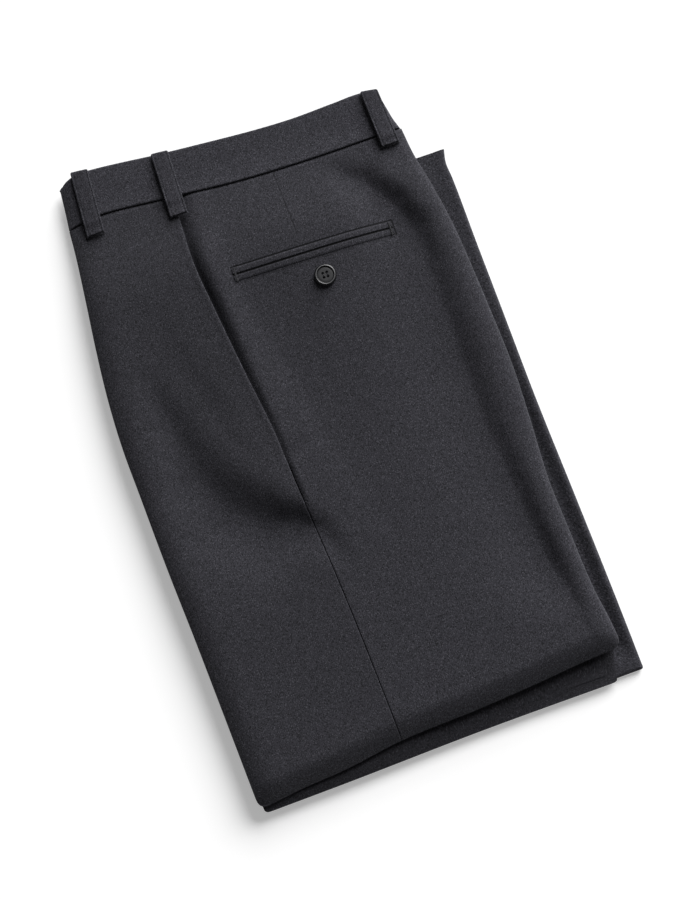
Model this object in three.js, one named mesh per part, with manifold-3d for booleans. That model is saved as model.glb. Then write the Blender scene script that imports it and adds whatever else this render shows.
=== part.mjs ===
// Tapered dress trousers, pressed and folded for the shelf: one leg laid on the other, crease to
// crease, and the legs then turned under once at mid thigh, so the hems end beneath the seat.
// The near half faces up. Millimetres: +Y to the waistband, +X to the seat, +Z up from the table.
import * as THREE from "three";
import { mergeVertices } from "three/addons/utils/BufferGeometryUtils.js";
import Module from "manifold-3d";

const wasm = await Module();
wasm.setup();

// ---- Driving dimensions ----
const clothWall = 1.6; // one built-up wall of suiting
const bandWall = 2.4; // waistband with its stiffener
const seamGap = 0.3; // clearance between pieces that touch
const stackHeight = 24; // top of the folded stack over the turned-under legs
const waistHeight = 13.2; // top of the stack at the waist, where no legs lie beneath
const nearLegFloor = 13.3; // underside of the near leg
const otherLegFloor = 6.9; // underside of the other leg, where it lies on the turned-under legs
const lowerLegTop = 6.4; // top of the turned-under legs
const overFarBand = 3.6; // underside of the other leg where it lies on the far half of the waistband
const hemY = 192; // hem line of the turned-under legs
const hemTurnUp = 40; // depth of the hem turned inside
const underlap = 8; // how far the back panel runs on beneath the front panel's edge
const mouthHollow = 1.5; // extra drop of the back panel beside the open pocket mouth
const bandProud = 1.0; // how far the waistband stands above the panels
const loopWall = 1.6;
const weltWall = 1.0;
const weltLength = 134;
const buttonDiameter = 16.5;
const buttonHeight = 2.8;
const buttonHole = 1.9;
const buttonHolePitch = 3.4;

// ---- Outlines of the folded stack ----
// Front crease of the near leg, from the waist seam down to the turn.
const frontCrease = [
  { y: 226, x: -153.6 },
  { y: 204, x: -155.0 },
  { y: 163, x: -159.2 },
  { y: 123, x: -163.8 },
  { y: 83, x: -167.3 },
  { y: 43, x: -168.6 },
  { y: 1, x: -167.4 },
  { y: -60, x: -165.4 },
  { y: -122, x: -162.3 },
  { y: -183, x: -159.8 },
  { y: -266, x: -156.6 },
];
// Back crease of the near leg, with the seat's fullness above and a small flare at the turn.
const backCrease = [
  { y: 217, x: 129.6 },
  { y: 193, x: 131.8 },
  { y: 172, x: 135.8 },
  { y: 131, x: 142.2 },
  { y: 98, x: 145.0 },
  { y: 50, x: 147.8 },
  { y: 6, x: 149.6 },
  { y: -38, x: 148.6 },
  { y: -93, x: 146.2 },
  { y: -130, x: 147.8 },
  { y: -187, x: 151.0 },
  { y: -212, x: 154.6 },
  { y: -238, x: 157.2 },
];
// The turn of the near leg, the lower edge of the top layer.
const nearLegTurn = [
  { x: -158, y: -265.6 },
  { x: -123, y: -260.8 },
  { x: -79, y: -257.0 },
  { x: -34, y: -250.4 },
  { x: 34, y: -246.7 },
  { x: 84, y: -242.8 },
  { x: 122, y: -239.0 },
  { x: 158, y: -236.6 },
];
// The turn of the other leg, straighter and a little lower than the near leg's.
const otherLegTurn = [
  { x: -158, y: -269.6 },
  { x: -84, y: -267.8 },
  { x: 31, y: -264.0 },
  { x: 150, y: -262.4 },
];
// Right-hand crease of the turned-under legs, which shows past the near leg.
const lowerLegRight = [
  { y: 192, x: 157.8 },
  { y: 181, x: 155.6 },
  { y: 168, x: 156.4 },
  { y: 109, x: 157.4 },
  { y: 56, x: 158.6 },
  { y: -28, x: 160.4 },
  { y: -111, x: 163.8 },
  { y: -194, x: 167.0 },
  { y: -262, x: 169.1 },
];
// Left-hand crease of the turned-under legs: they taper from the turn to the hem.
const lowerLegLeft = [
  { y: 192, x: -36 },
  { y: 60, x: -72 },
  { y: -120, x: -118 },
  { y: -230, x: -146 },
  { y: -262, x: -151 },
];
// Side seam of the near leg; above y = -5 it is the mouth of the side pocket.
const sideSeam = [
  { y: 226, x: -65.0 },
  { y: 203, x: -65.5 },
  { y: 165, x: -66.2 },
  { y: 126, x: -62.4 },
  { y: 64, x: -55.2 },
  { y: 20, x: -49.4 },
  { y: -38, x: -45.4 },
  { y: -97, x: -40.6 },
  { y: -148, x: -37.4 },
  { y: -246, x: -33.0 },
];
// Where the waistband is sewn on.
const waistSeam = [
  { x: -154, y: 225.4 },
  { x: -128, y: 228.8 },
  { x: -74, y: 224.8 },
  { x: -9, y: 218.9 },
  { x: 36, y: 217.3 },
  { x: 70, y: 217.1 },
  { x: 132, y: 218.2 },
];
// Upper edge of the waistband, falling away where the front end turns under.
const waistTop = [
  { x: -152, y: 256.5 },
  { x: -147, y: 262.6 },
  { x: -138, y: 267.4 },
  { x: -130, y: 269.2 },
  { x: -71, y: 262.8 },
  { x: -30, y: 258.8 },
  { x: 16, y: 255.4 },
  { x: 49, y: 254.4 },
  { x: 83, y: 255.6 },
  { x: 122, y: 256.2 },
];
const bandFrontEnd = [
  { y: 225, x: -153.6 },
  { y: 245, x: -151.8 },
  { y: 268, x: -150.0 },
];
const bandBackEnd = [
  { y: 217, x: 129.6 },
  { y: 234, x: 125.8 },
  { y: 256, x: 120.8 },
];
// Long soft trough inside the back crease, pressed by the fold beneath.
const seatTrough = [
  { x: 71.7, y: 203.5, depth: 0.5, spread: 9 },
  { x: 90.0, y: 182.0, depth: 1.1, spread: 10 },
  { x: 107.4, y: 158.5, depth: 2.1, spread: 9 },
  { x: 117.9, y: 134.7, depth: 1.6, spread: 8 },
  { x: 122.1, y: 102.7, depth: 1.2, spread: 8 },
  { x: 122.7, y: 68.0, depth: 1.5, spread: 8 },
  { x: 121.8, y: 16.8, depth: 1.9, spread: 8 },
  { x: 119.9, y: -29.5, depth: 1.4, spread: 8 },
  { x: 120.1, y: -72.0, depth: 1.6, spread: 8 },
  { x: 120.5, y: -118.7, depth: 1.9, spread: 8 },
  { x: 126.3, y: -150.0, depth: 1.2, spread: 7 },
  { x: 133.0, y: -190.0, depth: 0.5, spread: 6 },
];
// Edge of the pocket bag showing through the front panel as a shallow curved trough.
const pocketBagTrough = [
  { x: -119.7, y: 53.0, depth: 0.4, spread: 10 },
  { x: -109.8, y: 19.8, depth: 0.8, spread: 10 },
  { x: -98.7, y: -9.4, depth: 1.2, spread: 10 },
  { x: -81.2, y: -32.4, depth: 1.5, spread: 10 },
  { x: -60.4, y: -45.4, depth: 1.5, spread: 10 },
  { x: -45.6, y: -51.4, depth: 1.1, spread: 10 },
  { x: -33.7, y: -65.6, depth: 0.7, spread: 9 },
  { x: -20.6, y: -88.7, depth: 0.3, spread: 8 },
];

// ---- Working curves ----
/** A smooth curve through a table's rows: the value column as a function of the key column. */
function through(rows, key, value) {
  const points = [...rows].sort((a, b) => a[key] - b[key]);
  const last = points.length - 1;
  const chord = (i) => (points[i + 1][value] - points[i][value]) / (points[i + 1][key] - points[i][key]);
  const slope = (i) => {
    if (i === 0) return chord(0);
    if (i === last) return chord(last - 1);
    return (chord(i - 1) + chord(i)) / 2;
  };
  return (at) => {
    if (at <= points[0][key]) return points[0][value] + slope(0) * (at - points[0][key]);
    if (at >= points[last][key]) return points[last][value] + slope(last) * (at - points[last][key]);
    const i = points.findIndex((point, index) => index < last && at <= points[index + 1][key]);
    const span = points[i + 1][key] - points[i][key];
    const t = (at - points[i][key]) / span;
    const [a, b] = [points[i][value], points[i + 1][value]];
    const [m, n] = [slope(i) * span, slope(i + 1) * span];
    return a + t * (m + t * (3 * (b - a) - 2 * m - n + t * (m + n - 2 * (b - a))));
  };
}

/** 0 before low, 1 after high, with a soft start and end. */
const ease = (at, low, high) => THREE.MathUtils.smoothstep(at, low, high);
const mix = THREE.MathUtils.lerp;

const creaseFront = through(frontCrease, "y", "x");
const creaseBack = through(backCrease, "y", "x");
const turnNear = through(nearLegTurn, "x", "y");
const turnOther = through(otherLegTurn, "x", "y");
const lowerRight = through(lowerLegRight, "y", "x");
const lowerLeft = through(lowerLegLeft, "y", "x");
const seamX = through(sideSeam, "y", "x");
const waistSeamY = through(waistSeam, "x", "y");
const waistTopY = through(waistTop, "x", "y");
const bandFront = through(bandFrontEnd, "y", "x");
const bandBack = through(bandBackEnd, "y", "x");

/** Depth of a trough at a point: its depth column, fading with distance from its line. */
function troughDepth(rows, x, y) {
  let depth = 0;
  for (let i = 0; i < rows.length - 1; i += 1) {
    const [a, b] = [rows[i], rows[i + 1]];
    const [runX, runY] = [b.x - a.x, b.y - a.y];
    const along = ((x - a.x) * runX + (y - a.y) * runY) / (runX * runX + runY * runY);
    const t = THREE.MathUtils.clamp(along, 0, 1);
    const away = Math.hypot(x - a.x - t * runX, y - a.y - t * runY) / mix(a.spread, b.spread, t);
    depth = Math.max(depth, mix(a.depth, b.depth, t) * Math.exp(-away * away));
  }
  return depth;
}

/** How far the stack has settled: 1 over the turned-under legs, less beside them and at the waist. */
function settle(x, y) {
  const waistSag = (1 - waistHeight / stackHeight) * ease(y, 150, 240);
  const sideSag = 0.14 * ease(-x, 40, 150) * ease(y, -120, 110) * (1 - ease(y, 150, 235));
  return 1 - waistSag - sideSag;
}

const topHeight = (x, y) =>
  stackHeight * settle(x, y) - troughDepth(seatTrough, x, y) - troughDepth(pocketBagTrough, x, y);

const stepNear = 5; // where the cloth steps down past the edge of the turned-under legs
const stepFar = 14;
const bandRamp = 30; // run over which the other leg climbs on to the far half of the waistband

/** Underside of the other leg: on the turned-under legs, or down on the table beside them. */
function otherLegUnderside(x, y) {
  const onLegs = ease(x - lowerLeft(y), -stepFar, -stepNear) * (1 - ease(y, hemY + stepNear, hemY + stepFar));
  const pastBand = overFarBand * ease(y, hemY - bandRamp, hemY);
  return Math.max(otherLegFloor * settle(x, y) * onLegs, pastBand);
}

// ---- Folded edges ----
const tightestCorner = 4;
const cornerGuessY = -250; // near every corner of the stack, where the search for it starts
const cornerSteps = 3;

/**
 * Half the edge of one layer, from its top end down a crease, round the corner and along the turn
 * to the middle. side is -1 for the left half and 1 for the right one. Layers with one shoulderY
 * have their points at the same heights below it.
 */
function halfEdge(layer, side, sideInset, turnInset) {
  const crease = side < 0 ? layer.left : layer.right;
  const middle = side < 0 ? layer.middleLeft : layer.middleRight;
  const edgeX = (y) => crease(y) - side * sideInset;
  const edgeY = (x) => layer.turn(x) + turnInset;
  const radius = Math.max(layer.corner - Math.min(sideInset, turnInset), tightestCorner);
  const corner = { x: edgeX(cornerGuessY), y: 0 };
  for (let pass = 0; pass < 3; pass += 1) {
    corner.y = edgeY(corner.x);
    corner.x = edgeX(corner.y);
  }
  const points = [];
  const top = layer.topY(side);
  const shoulder = layer.shoulderY ?? top;
  const topSteps = layer.shoulderY ? 4 : 0;
  for (let i = 0; i < topSteps; i += 1) {
    const y = mix(top, shoulder, i / topSteps);
    points.push({ x: edgeX(y), y });
  }
  for (let i = topSteps; i <= layer.sideSteps; i += 1) {
    const y = mix(shoulder, corner.y + radius, (i - topSteps) / (layer.sideSteps - topSteps));
    points.push({ x: edgeX(y), y });
  }
  const start = points[points.length - 1];
  const endX = corner.x - side * radius;
  const end = { x: endX, y: edgeY(endX) };
  for (let i = 1; i <= cornerSteps; i += 1) {
    const t = i / (cornerSteps + 1);
    const [p, q, r] = [(1 - t) * (1 - t), 2 * t * (1 - t), t * t];
    const x = p * start.x + q * corner.x + r * end.x;
    const y = p * start.y + q * corner.y + r * end.y;
    points.push({ x, y });
  }
  for (let i = 0; i <= layer.turnSteps; i += 1) {
    const x = mix(end.x, middle, i / layer.turnSteps);
    points.push({ x, y: edgeY(x) });
  }
  return points;
}

/** Both halves of a layer's edge as one run, left top end first. */
function wholeEdge(layer, insets) {
  const left = halfEdge(layer, -1, insets.left, insets.turn);
  const right = halfEdge(layer, 1, insets.right, insets.turn);
  return [...left, ...right.reverse().slice(1)];
}

/** The rounded profile of a folded edge: inset and height share, from underneath to on top. */
function foldProfile(steps, insetUnder, insetOver) {
  const profile = [];
  for (let i = 0; i <= steps; i += 1) {
    const angle = (Math.PI * i) / steps;
    const inset = (angle < Math.PI / 2 ? insetUnder : insetOver) * (1 - Math.sin(angle));
    profile.push({ inset, rise: (1 - Math.cos(angle)) / 2 });
  }
  return profile;
}

// ---- Solids ----
/** A closed mesh's geometry from points and triangles, turned so that its faces point out. */
function solid(points, triangles) {
  let volume = 0;
  for (const [a, b, c] of triangles) {
    volume += points[a].dot(new THREE.Vector3().crossVectors(points[b], points[c]));
  }
  const index = triangles.flatMap(([a, b, c]) => (volume < 0 ? [a, c, b] : [a, b, c]));
  const geometry = new THREE.BufferGeometry();
  geometry.setAttribute("position", new THREE.Float32BufferAttribute(points.flatMap((p) => p.toArray()), 3));
  geometry.setIndex(index);
  return geometry;
}

/** Outward normals of a grid of points; outward is the side that faces up on the grid's top. */
function gridNormals(grid) {
  const [rows, columns] = [grid.length, grid[0].length];
  const normals = grid.map((row, r) => row.map((point, c) => {
    const down = grid[Math.min(r + 1, rows - 1)][c].clone().sub(grid[Math.max(r - 1, 0)][c]);
    const across = row[Math.min(c + 1, columns - 1)].clone().sub(row[Math.max(c - 1, 0)]);
    return down.cross(across).normalize();
  }));
  const heights = grid.flat().map((point) => point.z);
  const onTop = Math.max(...heights) * 0.9;
  const facing = normals.flat().reduce((sum, normal, i) => sum + (heights[i] > onTop ? normal.z : 0), 0);
  if (facing < 0) normals.flat().forEach((normal) => normal.negate());
  for (const [r, c, nextR, nextC] of [
    [0, 0, 1, 1],
    [0, columns - 1, 1, columns - 2],
    [rows - 1, 0, rows - 2, 1],
    [rows - 1, columns - 1, rows - 2, columns - 2],
  ]) normals[r][c].copy(normals[nextR][nextC]);
  return normals;
}

/** Moves a grid of points inwards by an amount that may vary over it. */
function sunk(grid, depthAt) {
  const normals = gridNormals(grid);
  return grid.map((row, r) => row.map((point, c) => (
    point.clone().addScaledVector(normals[r][c], -depthAt(point))
  )));
}

/** A wall of cloth: a grid of outer points, thickened inwards and closed round its edge. */
function wall(grid, thickness) {
  const [rows, columns] = [grid.length, grid[0].length];
  const inner = sunk(grid, () => thickness);
  const points = [...grid.flat(), ...inner.flat()];
  const under = rows * columns;
  const at = (r, c) => r * columns + c;
  const triangles = [];
  for (let r = 0; r < rows - 1; r += 1) {
    for (let c = 0; c < columns - 1; c += 1) {
      const [a, b, d, e] = [at(r, c), at(r, c + 1), at(r + 1, c + 1), at(r + 1, c)];
      triangles.push([a, b, d], [a, d, e]);
      triangles.push([under + a, under + d, under + b], [under + a, under + e, under + d]);
    }
  }
  const border = [];
  for (let c = 0; c < columns - 1; c += 1) border.push(at(0, c));
  for (let r = 0; r < rows - 1; r += 1) border.push(at(r, columns - 1));
  for (let c = columns - 1; c > 0; c -= 1) border.push(at(rows - 1, c));
  for (let r = rows - 1; r > 0; r -= 1) border.push(at(r, 0));
  border.forEach((a, i) => {
    const b = border[(i + 1) % border.length];
    triangles.push([a, under + b, b], [a, under + a, under + b]);
  });
  return solid(points, triangles);
}

const trousers = new THREE.Group();
const suiting = new THREE.MeshStandardMaterial({ color: 0x3b3c41, roughness: 0.92, metalness: 0 });
const shadedSuiting = new THREE.MeshStandardMaterial({ color: 0x34353a, roughness: 0.94, metalness: 0 });
const buttonPlastic = new THREE.MeshStandardMaterial({ color: 0x1c1c1f, roughness: 0.35, metalness: 0 });

function addPiece(name, geometry, material) {
  const mesh = new THREE.Mesh(geometry, material);
  mesh.name = name;
  trousers.add(mesh);
}

// ---- Front and back panels: the near leg's outer cloth, rolled round its creases and turn ----
const creaseTuck = 12; // cloth carried on beneath the stack, inside the folded edge
const rollUnder = 5; // width of a folded edge's lower round
const rollOver = 11; // width of its upper, softer round
const foldSteps = 6;
const acrossSteps = 9;
const acrossBias = 1.35; // columns stand closer near the folded edge
const closeShare = 0.1; // most that a close column beside the seam takes of a row's run
const waistRows = 6; // rows over which the panels' rows turn to follow the waist seam
const seamFan = 70; // lowest stretch of the side seam, where rows from the turn run out
const seamFoot = -246;
const creaseHead = { front: 225, back: 217 }; // heights at which the creases meet the waist seam
const seamHead = 225;
const mouthFoot = -8; // lower end of the side pocket's mouth

const mouthWidest = 150; // height at which the mouth gapes most
const mouthFlat = 2; // run of the back panel that stays down beside the front panel's edge
const mouthReach = { foot: 4, head: 15 }; // how far past the edge the back panel is drawn down

/** 1 beside the pocket mouth, 0 below it where the panels are sewn edge to edge. */
const atMouth = (y) => ease(y, mouthFoot - 12, mouthFoot + 12);
const frontLine = (y) => seamX(y);
const backLine = (y) => seamX(y) + mix(seamGap, -underlap, atMouth(y));

const nearLeg = {
  left: creaseFront,
  right: creaseBack,
  turn: turnNear,
  middleLeft: frontLine(seamFoot),
  middleRight: backLine(seamFoot),
  corner: 11,
  topY: (side) => (
    waistSeamY(side < 0 ? creaseFront(creaseHead.front) : creaseBack(creaseHead.back)) - seamGap / 2
  ),
  sideSteps: 25,
  turnSteps: 8,
};

/** Upper round of the folded edge, narrower where the stack thins towards the waist. */
const overWidth = (x, y) => mix(rollUnder, rollOver, ease(settle(x, y), 0.5, 1));

/**
 * The near leg's surface on one side of the side seam: rows along its edge, columns from the tuck,
 * up over the fold and across to the line. reaches are distances past the seam of close columns.
 */
function nearLegSurface(side, lineX, reaches) {
  const base = halfEdge(nearLeg, side, 0, 0);
  const tucks = halfEdge(nearLeg, side, creaseTuck, creaseTuck);
  const lineTop = waistSeamY(seamX(seamHead)) - seamGap / 2;
  const fanFoot = turnNear(seamX(seamFoot)) + seamFan / 2;
  const fanHead = fanFoot + seamFan / 2;
  const lastSide = nearLeg.sideSteps;
  return base.map((start, k) => {
    const over = overWidth(start.x, start.y);
    const tuck = tucks[k];
    const row = [new THREE.Vector3(tuck.x, tuck.y, nearLegFloor * settle(tuck.x, tuck.y))];
    let edge = start;
    for (const step of foldProfile(foldSteps, rollUnder, over)) {
      edge = halfEdge(nearLeg, side, step.inset, step.inset)[k];
      const low = nearLegFloor * settle(edge.x, edge.y);
      row.push(new THREE.Vector3(edge.x, edge.y, mix(low, topHeight(edge.x, edge.y), step.rise)));
    }
    const fan = Math.max(0, k - lastSide) / (base.length - 1 - lastSide);
    const lineY = k <= lastSide ? mix(lineTop, fanHead, k / lastSide) : mix(fanHead, fanFoot, fan);
    const line = { x: lineX(lineY), y: lineY };
    const run = Math.hypot(line.x - edge.x, line.y - edge.y);
    const past = Math.abs(line.x - seamX(lineY));
    const close = reaches.map((reach, i) => (
      1 - Math.min((reach + past) / run, (reaches.length - i) * closeShare)
    ));
    const shares = [];
    for (let i = 1; i <= acrossSteps; i += 1) shares.push(close[0] * (i / acrossSteps) ** acrossBias);
    shares.push(...close.slice(1), 1);
    const nearWaist = Math.max(0, 1 - k / waistRows);
    for (const share of shares) {
      const x = mix(edge.x, line.x, share);
      const rowTop = mix(nearLeg.topY(side), lineTop, share);
      const y = mix(edge.y, line.y, share) + nearWaist * (waistSeamY(x) - seamGap / 2 - rowTop);
      row.push(new THREE.Vector3(x, y, topHeight(x, y)));
    }
    return row;
  });
}

/** The back panel lies lower where it runs on beneath the front panel's edge. */
function underlapDepth(point) {
  const opening = ease(point.y, mouthFoot, mouthWidest);
  const past = point.x - seamX(point.y);
  const besideMouth = ease(point.y, mouthFoot - 46, mouthFoot - 28);
  const drop = clothWall + seamGap + mouthHollow * opening;
  return drop * besideMouth * (1 - ease(past, mouthFlat, mix(mouthReach.foot, mouthReach.head, opening)));
}

const backSurface = nearLegSurface(1, backLine, [18, 9, 2]);
addPiece("front_panel", wall(nearLegSurface(-1, frontLine, [14, 4]), clothWall), suiting);
addPiece("back_panel", wall(sunk(backSurface, underlapDepth), clothWall), suiting);

// ---- Waistband: one stiffened band, its front end turned under and its back end folded ----
const bandTuck = 6;
const bandRoll = 4;
const bandSteps = 20;
const bandRows = [0, 0.08, 0.5, 0.92, 1];
const bandEdgeDrop = 0.7; // soft rounding of the band's long edges

const bandLow = 226; // heights along the band's ends that its two long edges come from
const bandHigh = 264;
const bandBackLower = 8; // the back end sits this much lower than the front one

function bandGrid() {
  const profile = foldProfile(foldSteps, bandRoll, bandRoll);
  const stations = [{ inset: bandTuck, rise: 0, end: -1 }];
  profile.forEach((step) => stations.push({ ...step, end: -1 }));
  for (let i = 1; i < bandSteps; i += 1) stations.push({ share: i / bandSteps, rise: 1 });
  [...profile].reverse().forEach((step) => stations.push({ ...step, end: 1 }));
  stations.push({ inset: bandTuck, rise: 0, end: 1 });
  return bandRows.map((share) => stations.map((station) => {
    const y0 = mix(bandLow, bandHigh, share);
    const left = bandFront(y0) + (station.end === -1 ? station.inset : bandRoll);
    const right = bandBack(y0 - bandBackLower) - (station.end === 1 ? station.inset : bandRoll);
    let x = mix(left, right, station.share ?? 0);
    if (station.end === 1) x = right;
    const y = mix(waistSeamY(x) + seamGap / 2, waistTopY(x), share);
    const low = nearLegFloor * settle(x, y);
    const drop = share === 0 || share === 1 ? bandEdgeDrop : 0;
    const high = stackHeight * settle(x, y) + bandProud - drop;
    return new THREE.Vector3(x, y, mix(low, high, station.rise));
  }));
}
addPiece("waistband", wall(bandGrid(), bandWall), suiting);

// ---- Far half of the waistband, facing down on the table under the near half ----
const farBandTop = 3.2;
const farBandInset = 4;
const farBandFoot = 214;
const farBandBelow = 3; // how far its upper edge stays below the near half's
const farBandRows = 4;
function farBandGrid() {
  const rows = [];
  for (let i = 0; i <= farBandRows; i += 1) {
    const row = [];
    for (let j = 0; j <= bandSteps; j += 1) {
      const y0 = mix(farBandFoot, bandHigh, i / farBandRows);
      const x = mix(bandFront(y0) + farBandInset, bandBack(y0) - farBandInset, j / bandSteps);
      const y = mix(farBandFoot, waistTopY(x) - farBandBelow, i / farBandRows);
      row.push(new THREE.Vector3(x, y, farBandTop));
    }
    rows.push(row);
  }
  return rows;
}
addPiece("waistband_far_half", wall(farBandGrid(), farBandTop), shadedSuiting);

// ---- Belt loops: folded strips lying down the waistband and caught below its seam ----
const beltLoops = [
  { name: "belt_loop_front", topX: -130.4, topY: 267.6, footX: -133.6, footY: 214.6, width: 14.4 },
  { name: "belt_loop_side", topX: -63.8, topY: 262.0, footX: -64.8, footY: 207.8, width: 14.2 },
  { name: "belt_loop_back", topX: 113.6, topY: 255.4, footX: 115.4, footY: 207.0, width: 13.0 },
];
const loopSteps = 10;
const loopLift = 0.9; // slack of a loop over the band
const loopAcross = [-0.5, -0.36, 0, 0.36, 0.5];
const loopEdgeDrop = 0.5; // soft rounding of a loop's long edges
const loopRise = { from: 9, to: 3 }; // below the waist seam, where a loop climbs on to the band

function beltLoop(loop) {
  const rows = [];
  for (let i = 0; i <= loopSteps; i += 1) {
    const t = i / loopSteps;
    const row = [];
    for (const across of loopAcross) {
      const x = mix(loop.footX, loop.topX, t) + across * loop.width;
      const y = mix(loop.footY, loop.topY, t);
      const onBand = bandProud * ease(y, waistSeamY(x) - loopRise.from, waistSeamY(x) - loopRise.to);
      const slack = loopLift * Math.sin(Math.PI * t);
      const round = Math.abs(across) === 0.5 ? loopEdgeDrop : 0;
      const base = stackHeight * settle(x, y) + onBand + slack;
      row.push(new THREE.Vector3(x, y, base + seamGap + loopWall - round));
    }
    rows.push(row);
  }
  return wall(rows, loopWall - loopEdgeDrop);
}
beltLoops.forEach((loop) => addPiece(loop.name, beltLoop(loop), suiting));

// ---- Double-welt back pocket: two narrow strips side by side ----
const weltLeft = { x: -39.0, mouthY: 145.6 };
const weltRight = { x: 95.0, mouthY: 141.4 };
const welts = [
  { name: "pocket_welt_upper", from: seamGap / 2, to: 5.8 },
  { name: "pocket_welt_lower", from: -5.8, to: -seamGap / 2 },
];
const weltSteps = 14;
const weltAcross = [0, 0.2, 0.8, 1];
const weltEdgeDrop = 0.3;

function weltStrip(welt) {
  const rows = weltAcross.map((share) => {
    const row = [];
    for (let i = 0; i <= weltSteps; i += 1) {
      const t = i / weltSteps;
      const x = mix(weltLeft.x, weltLeft.x + weltLength, t);
      const y = mix(weltLeft.mouthY, weltRight.mouthY, t) + mix(welt.from, welt.to, share);
      const round = share === 0 || share === 1 ? weltEdgeDrop : 0;
      row.push(new THREE.Vector3(x, y, topHeight(x, y) + seamGap + weltWall - round));
    }
    return row;
  });
  return wall(rows, weltWall - weltEdgeDrop);
}
welts.forEach((welt) => addPiece(welt.name, weltStrip(welt), suiting));

// ---- Pocket button: a rimmed disc with four sewing holes ----
const buttonPlace = { x: 30.6, y: 121.4 };

/** A three.js geometry as a solid that can be joined and cut. */
function asSolid(geometry) {
  const plain = geometry.clone();
  plain.deleteAttribute("normal");
  plain.deleteAttribute("uv");
  const merged = mergeVertices(plain, 1e-4);
  return new wasm.Manifold(new wasm.Mesh({
    numProp: 3,
    vertProperties: new Float32Array(merged.attributes.position.array),
    triVerts: new Uint32Array(merged.index.array),
  }));
}

function fromSolid(body) {
  const { vertProperties, triVerts } = body.getMesh();
  const geometry = new THREE.BufferGeometry();
  geometry.setAttribute("position", new THREE.Float32BufferAttribute(vertProperties, 3));
  geometry.setIndex(new THREE.Uint32BufferAttribute(triVerts, 1));
  return geometry;
}

function pocketButton() {
  const r = buttonDiameter / 2;
  const h = buttonHeight;
  const profile = [
    [0, 0], [r * 0.72, 0], [r * 0.93, h * 0.3], [r, h * 0.62], [r * 0.94, h * 0.92],
    [r * 0.86, h], [r * 0.76, h * 0.9], [r * 0.66, h * 0.62], [0, h * 0.56],
  ].map(([x, y]) => new THREE.Vector2(x, y));
  let body = asSolid(new THREE.LatheGeometry(profile, 28).rotateX(Math.PI / 2));
  for (const [i, j] of [[-1, -1], [-1, 1], [1, -1], [1, 1]]) {
    const hole = new THREE.CylinderGeometry(buttonHole / 2, buttonHole / 2, 2 * h, 10);
    hole.rotateX(Math.PI / 2);
    hole.translate((i * buttonHolePitch) / 2, (j * buttonHolePitch) / 2, h / 2);
    body = body.subtract(asSolid(hole));
  }
  const { x, y } = buttonPlace;
  return fromSolid(body).translate(x, y, topHeight(x, y) + seamGap);
}
addPiece("pocket_button", pocketButton(), buttonPlastic);

// ---- Turned-under legs: a flattened tube lying on the table, open at the hem ----
const lowerLegs = {
  left: lowerLeft,
  right: lowerRight,
  turn: (x) => mix(-264, -261, ease(x, 60, 170)) + 1.4,
  middleLeft: 0,
  middleRight: 0,
  corner: 9,
  topY: (side) => (side < 0 ? hemY + 3 : hemY),
  sideSteps: 20,
  turnSteps: 7,
};
const lowerRollUnder = 2.6;
const lowerRollOver = 5;
const lowerFlat = 14; // how far the tube's cloth runs in from its left crease and its turn
const stripDepth = 44; // how far it runs in from its right crease, beneath the near leg's edge

function lowerLegGrid() {
  const flats = [
    { left: lowerFlat, right: stripDepth, turn: lowerFlat, rise: 0 },
    ...foldProfile(foldSteps, lowerRollUnder, lowerRollOver).map(({ inset, rise }) => (
      { left: inset, right: inset, turn: inset, rise }
    )),
    { left: lowerFlat / 2, right: stripDepth / 2, turn: lowerFlat / 2, rise: 1 },
    { left: lowerFlat, right: stripDepth, turn: lowerFlat, rise: 1 },
  ];
  const runs = flats.map((insets) => wholeEdge(lowerLegs, insets));
  return runs[0].map((point, k) => runs.map((run, index) => {
    const { x, y } = run[k];
    return new THREE.Vector3(x, y, lowerLegTop * settle(x, y) * flats[index].rise);
  }));
}
addPiece("lower_legs", wall(lowerLegGrid(), clothWall), suiting);

// ---- Hem turn-up: the leg's end folded inside and blind stitched ----
const hemWall = 1.1;
const hemBack = 0.6; // how far its turned edge stands in from the hem line
const hemInset = 5; // how far it stops short of the leg's crease
const hemRows = 4;
const hemColumns = 6;

/** The turned-up end, lying flat against the inside of the upper cloth. */
function hemGrid() {
  const rows = [];
  for (let r = 0; r <= hemRows; r += 1) {
    const y = mix(hemY - hemBack, hemY - hemTurnUp, r / hemRows);
    const row = [];
    for (let c = 0; c <= hemColumns; c += 1) {
      const x = lowerRight(y) - mix(stripDepth, hemInset, c / hemColumns);
      row.push(new THREE.Vector3(x, y, lowerLegTop * settle(x, y) - clothWall - seamGap));
    }
    rows.push(row);
  }
  return rows;
}
addPiece("hem_turn_up", wall(hemGrid(), hemWall), shadedSuiting);

// ---- Hidden layers: everything folded inside, one rounded solid layered at its edges ----
const coreClear = 6; // clearance of the hidden layers below the near leg's cloth
const creaseClear = 8; // clearance inside the other leg's creases
const otherLeg = {
  left: (y) => creaseFront(y) + 2.4,
  right: (y) => creaseBack(y) - 2.2,
  turn: turnOther,
  middleLeft: 0,
  middleRight: 0,
  corner: 8,
  topY: (side) => (side < 0 ? 252 : 246),
  shoulderY: 174,
  sideSteps: 20,
  turnSteps: 7,
};
const hemClear = 12; // the hidden layers stop this far inside the hem
/** The turned-under legs' hollow, as an edge for the hidden layers. */
const inLowerLegs = { ...lowerLegs, topY: () => hemY - hemClear, shoulderY: otherLeg.shoulderY };
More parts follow.
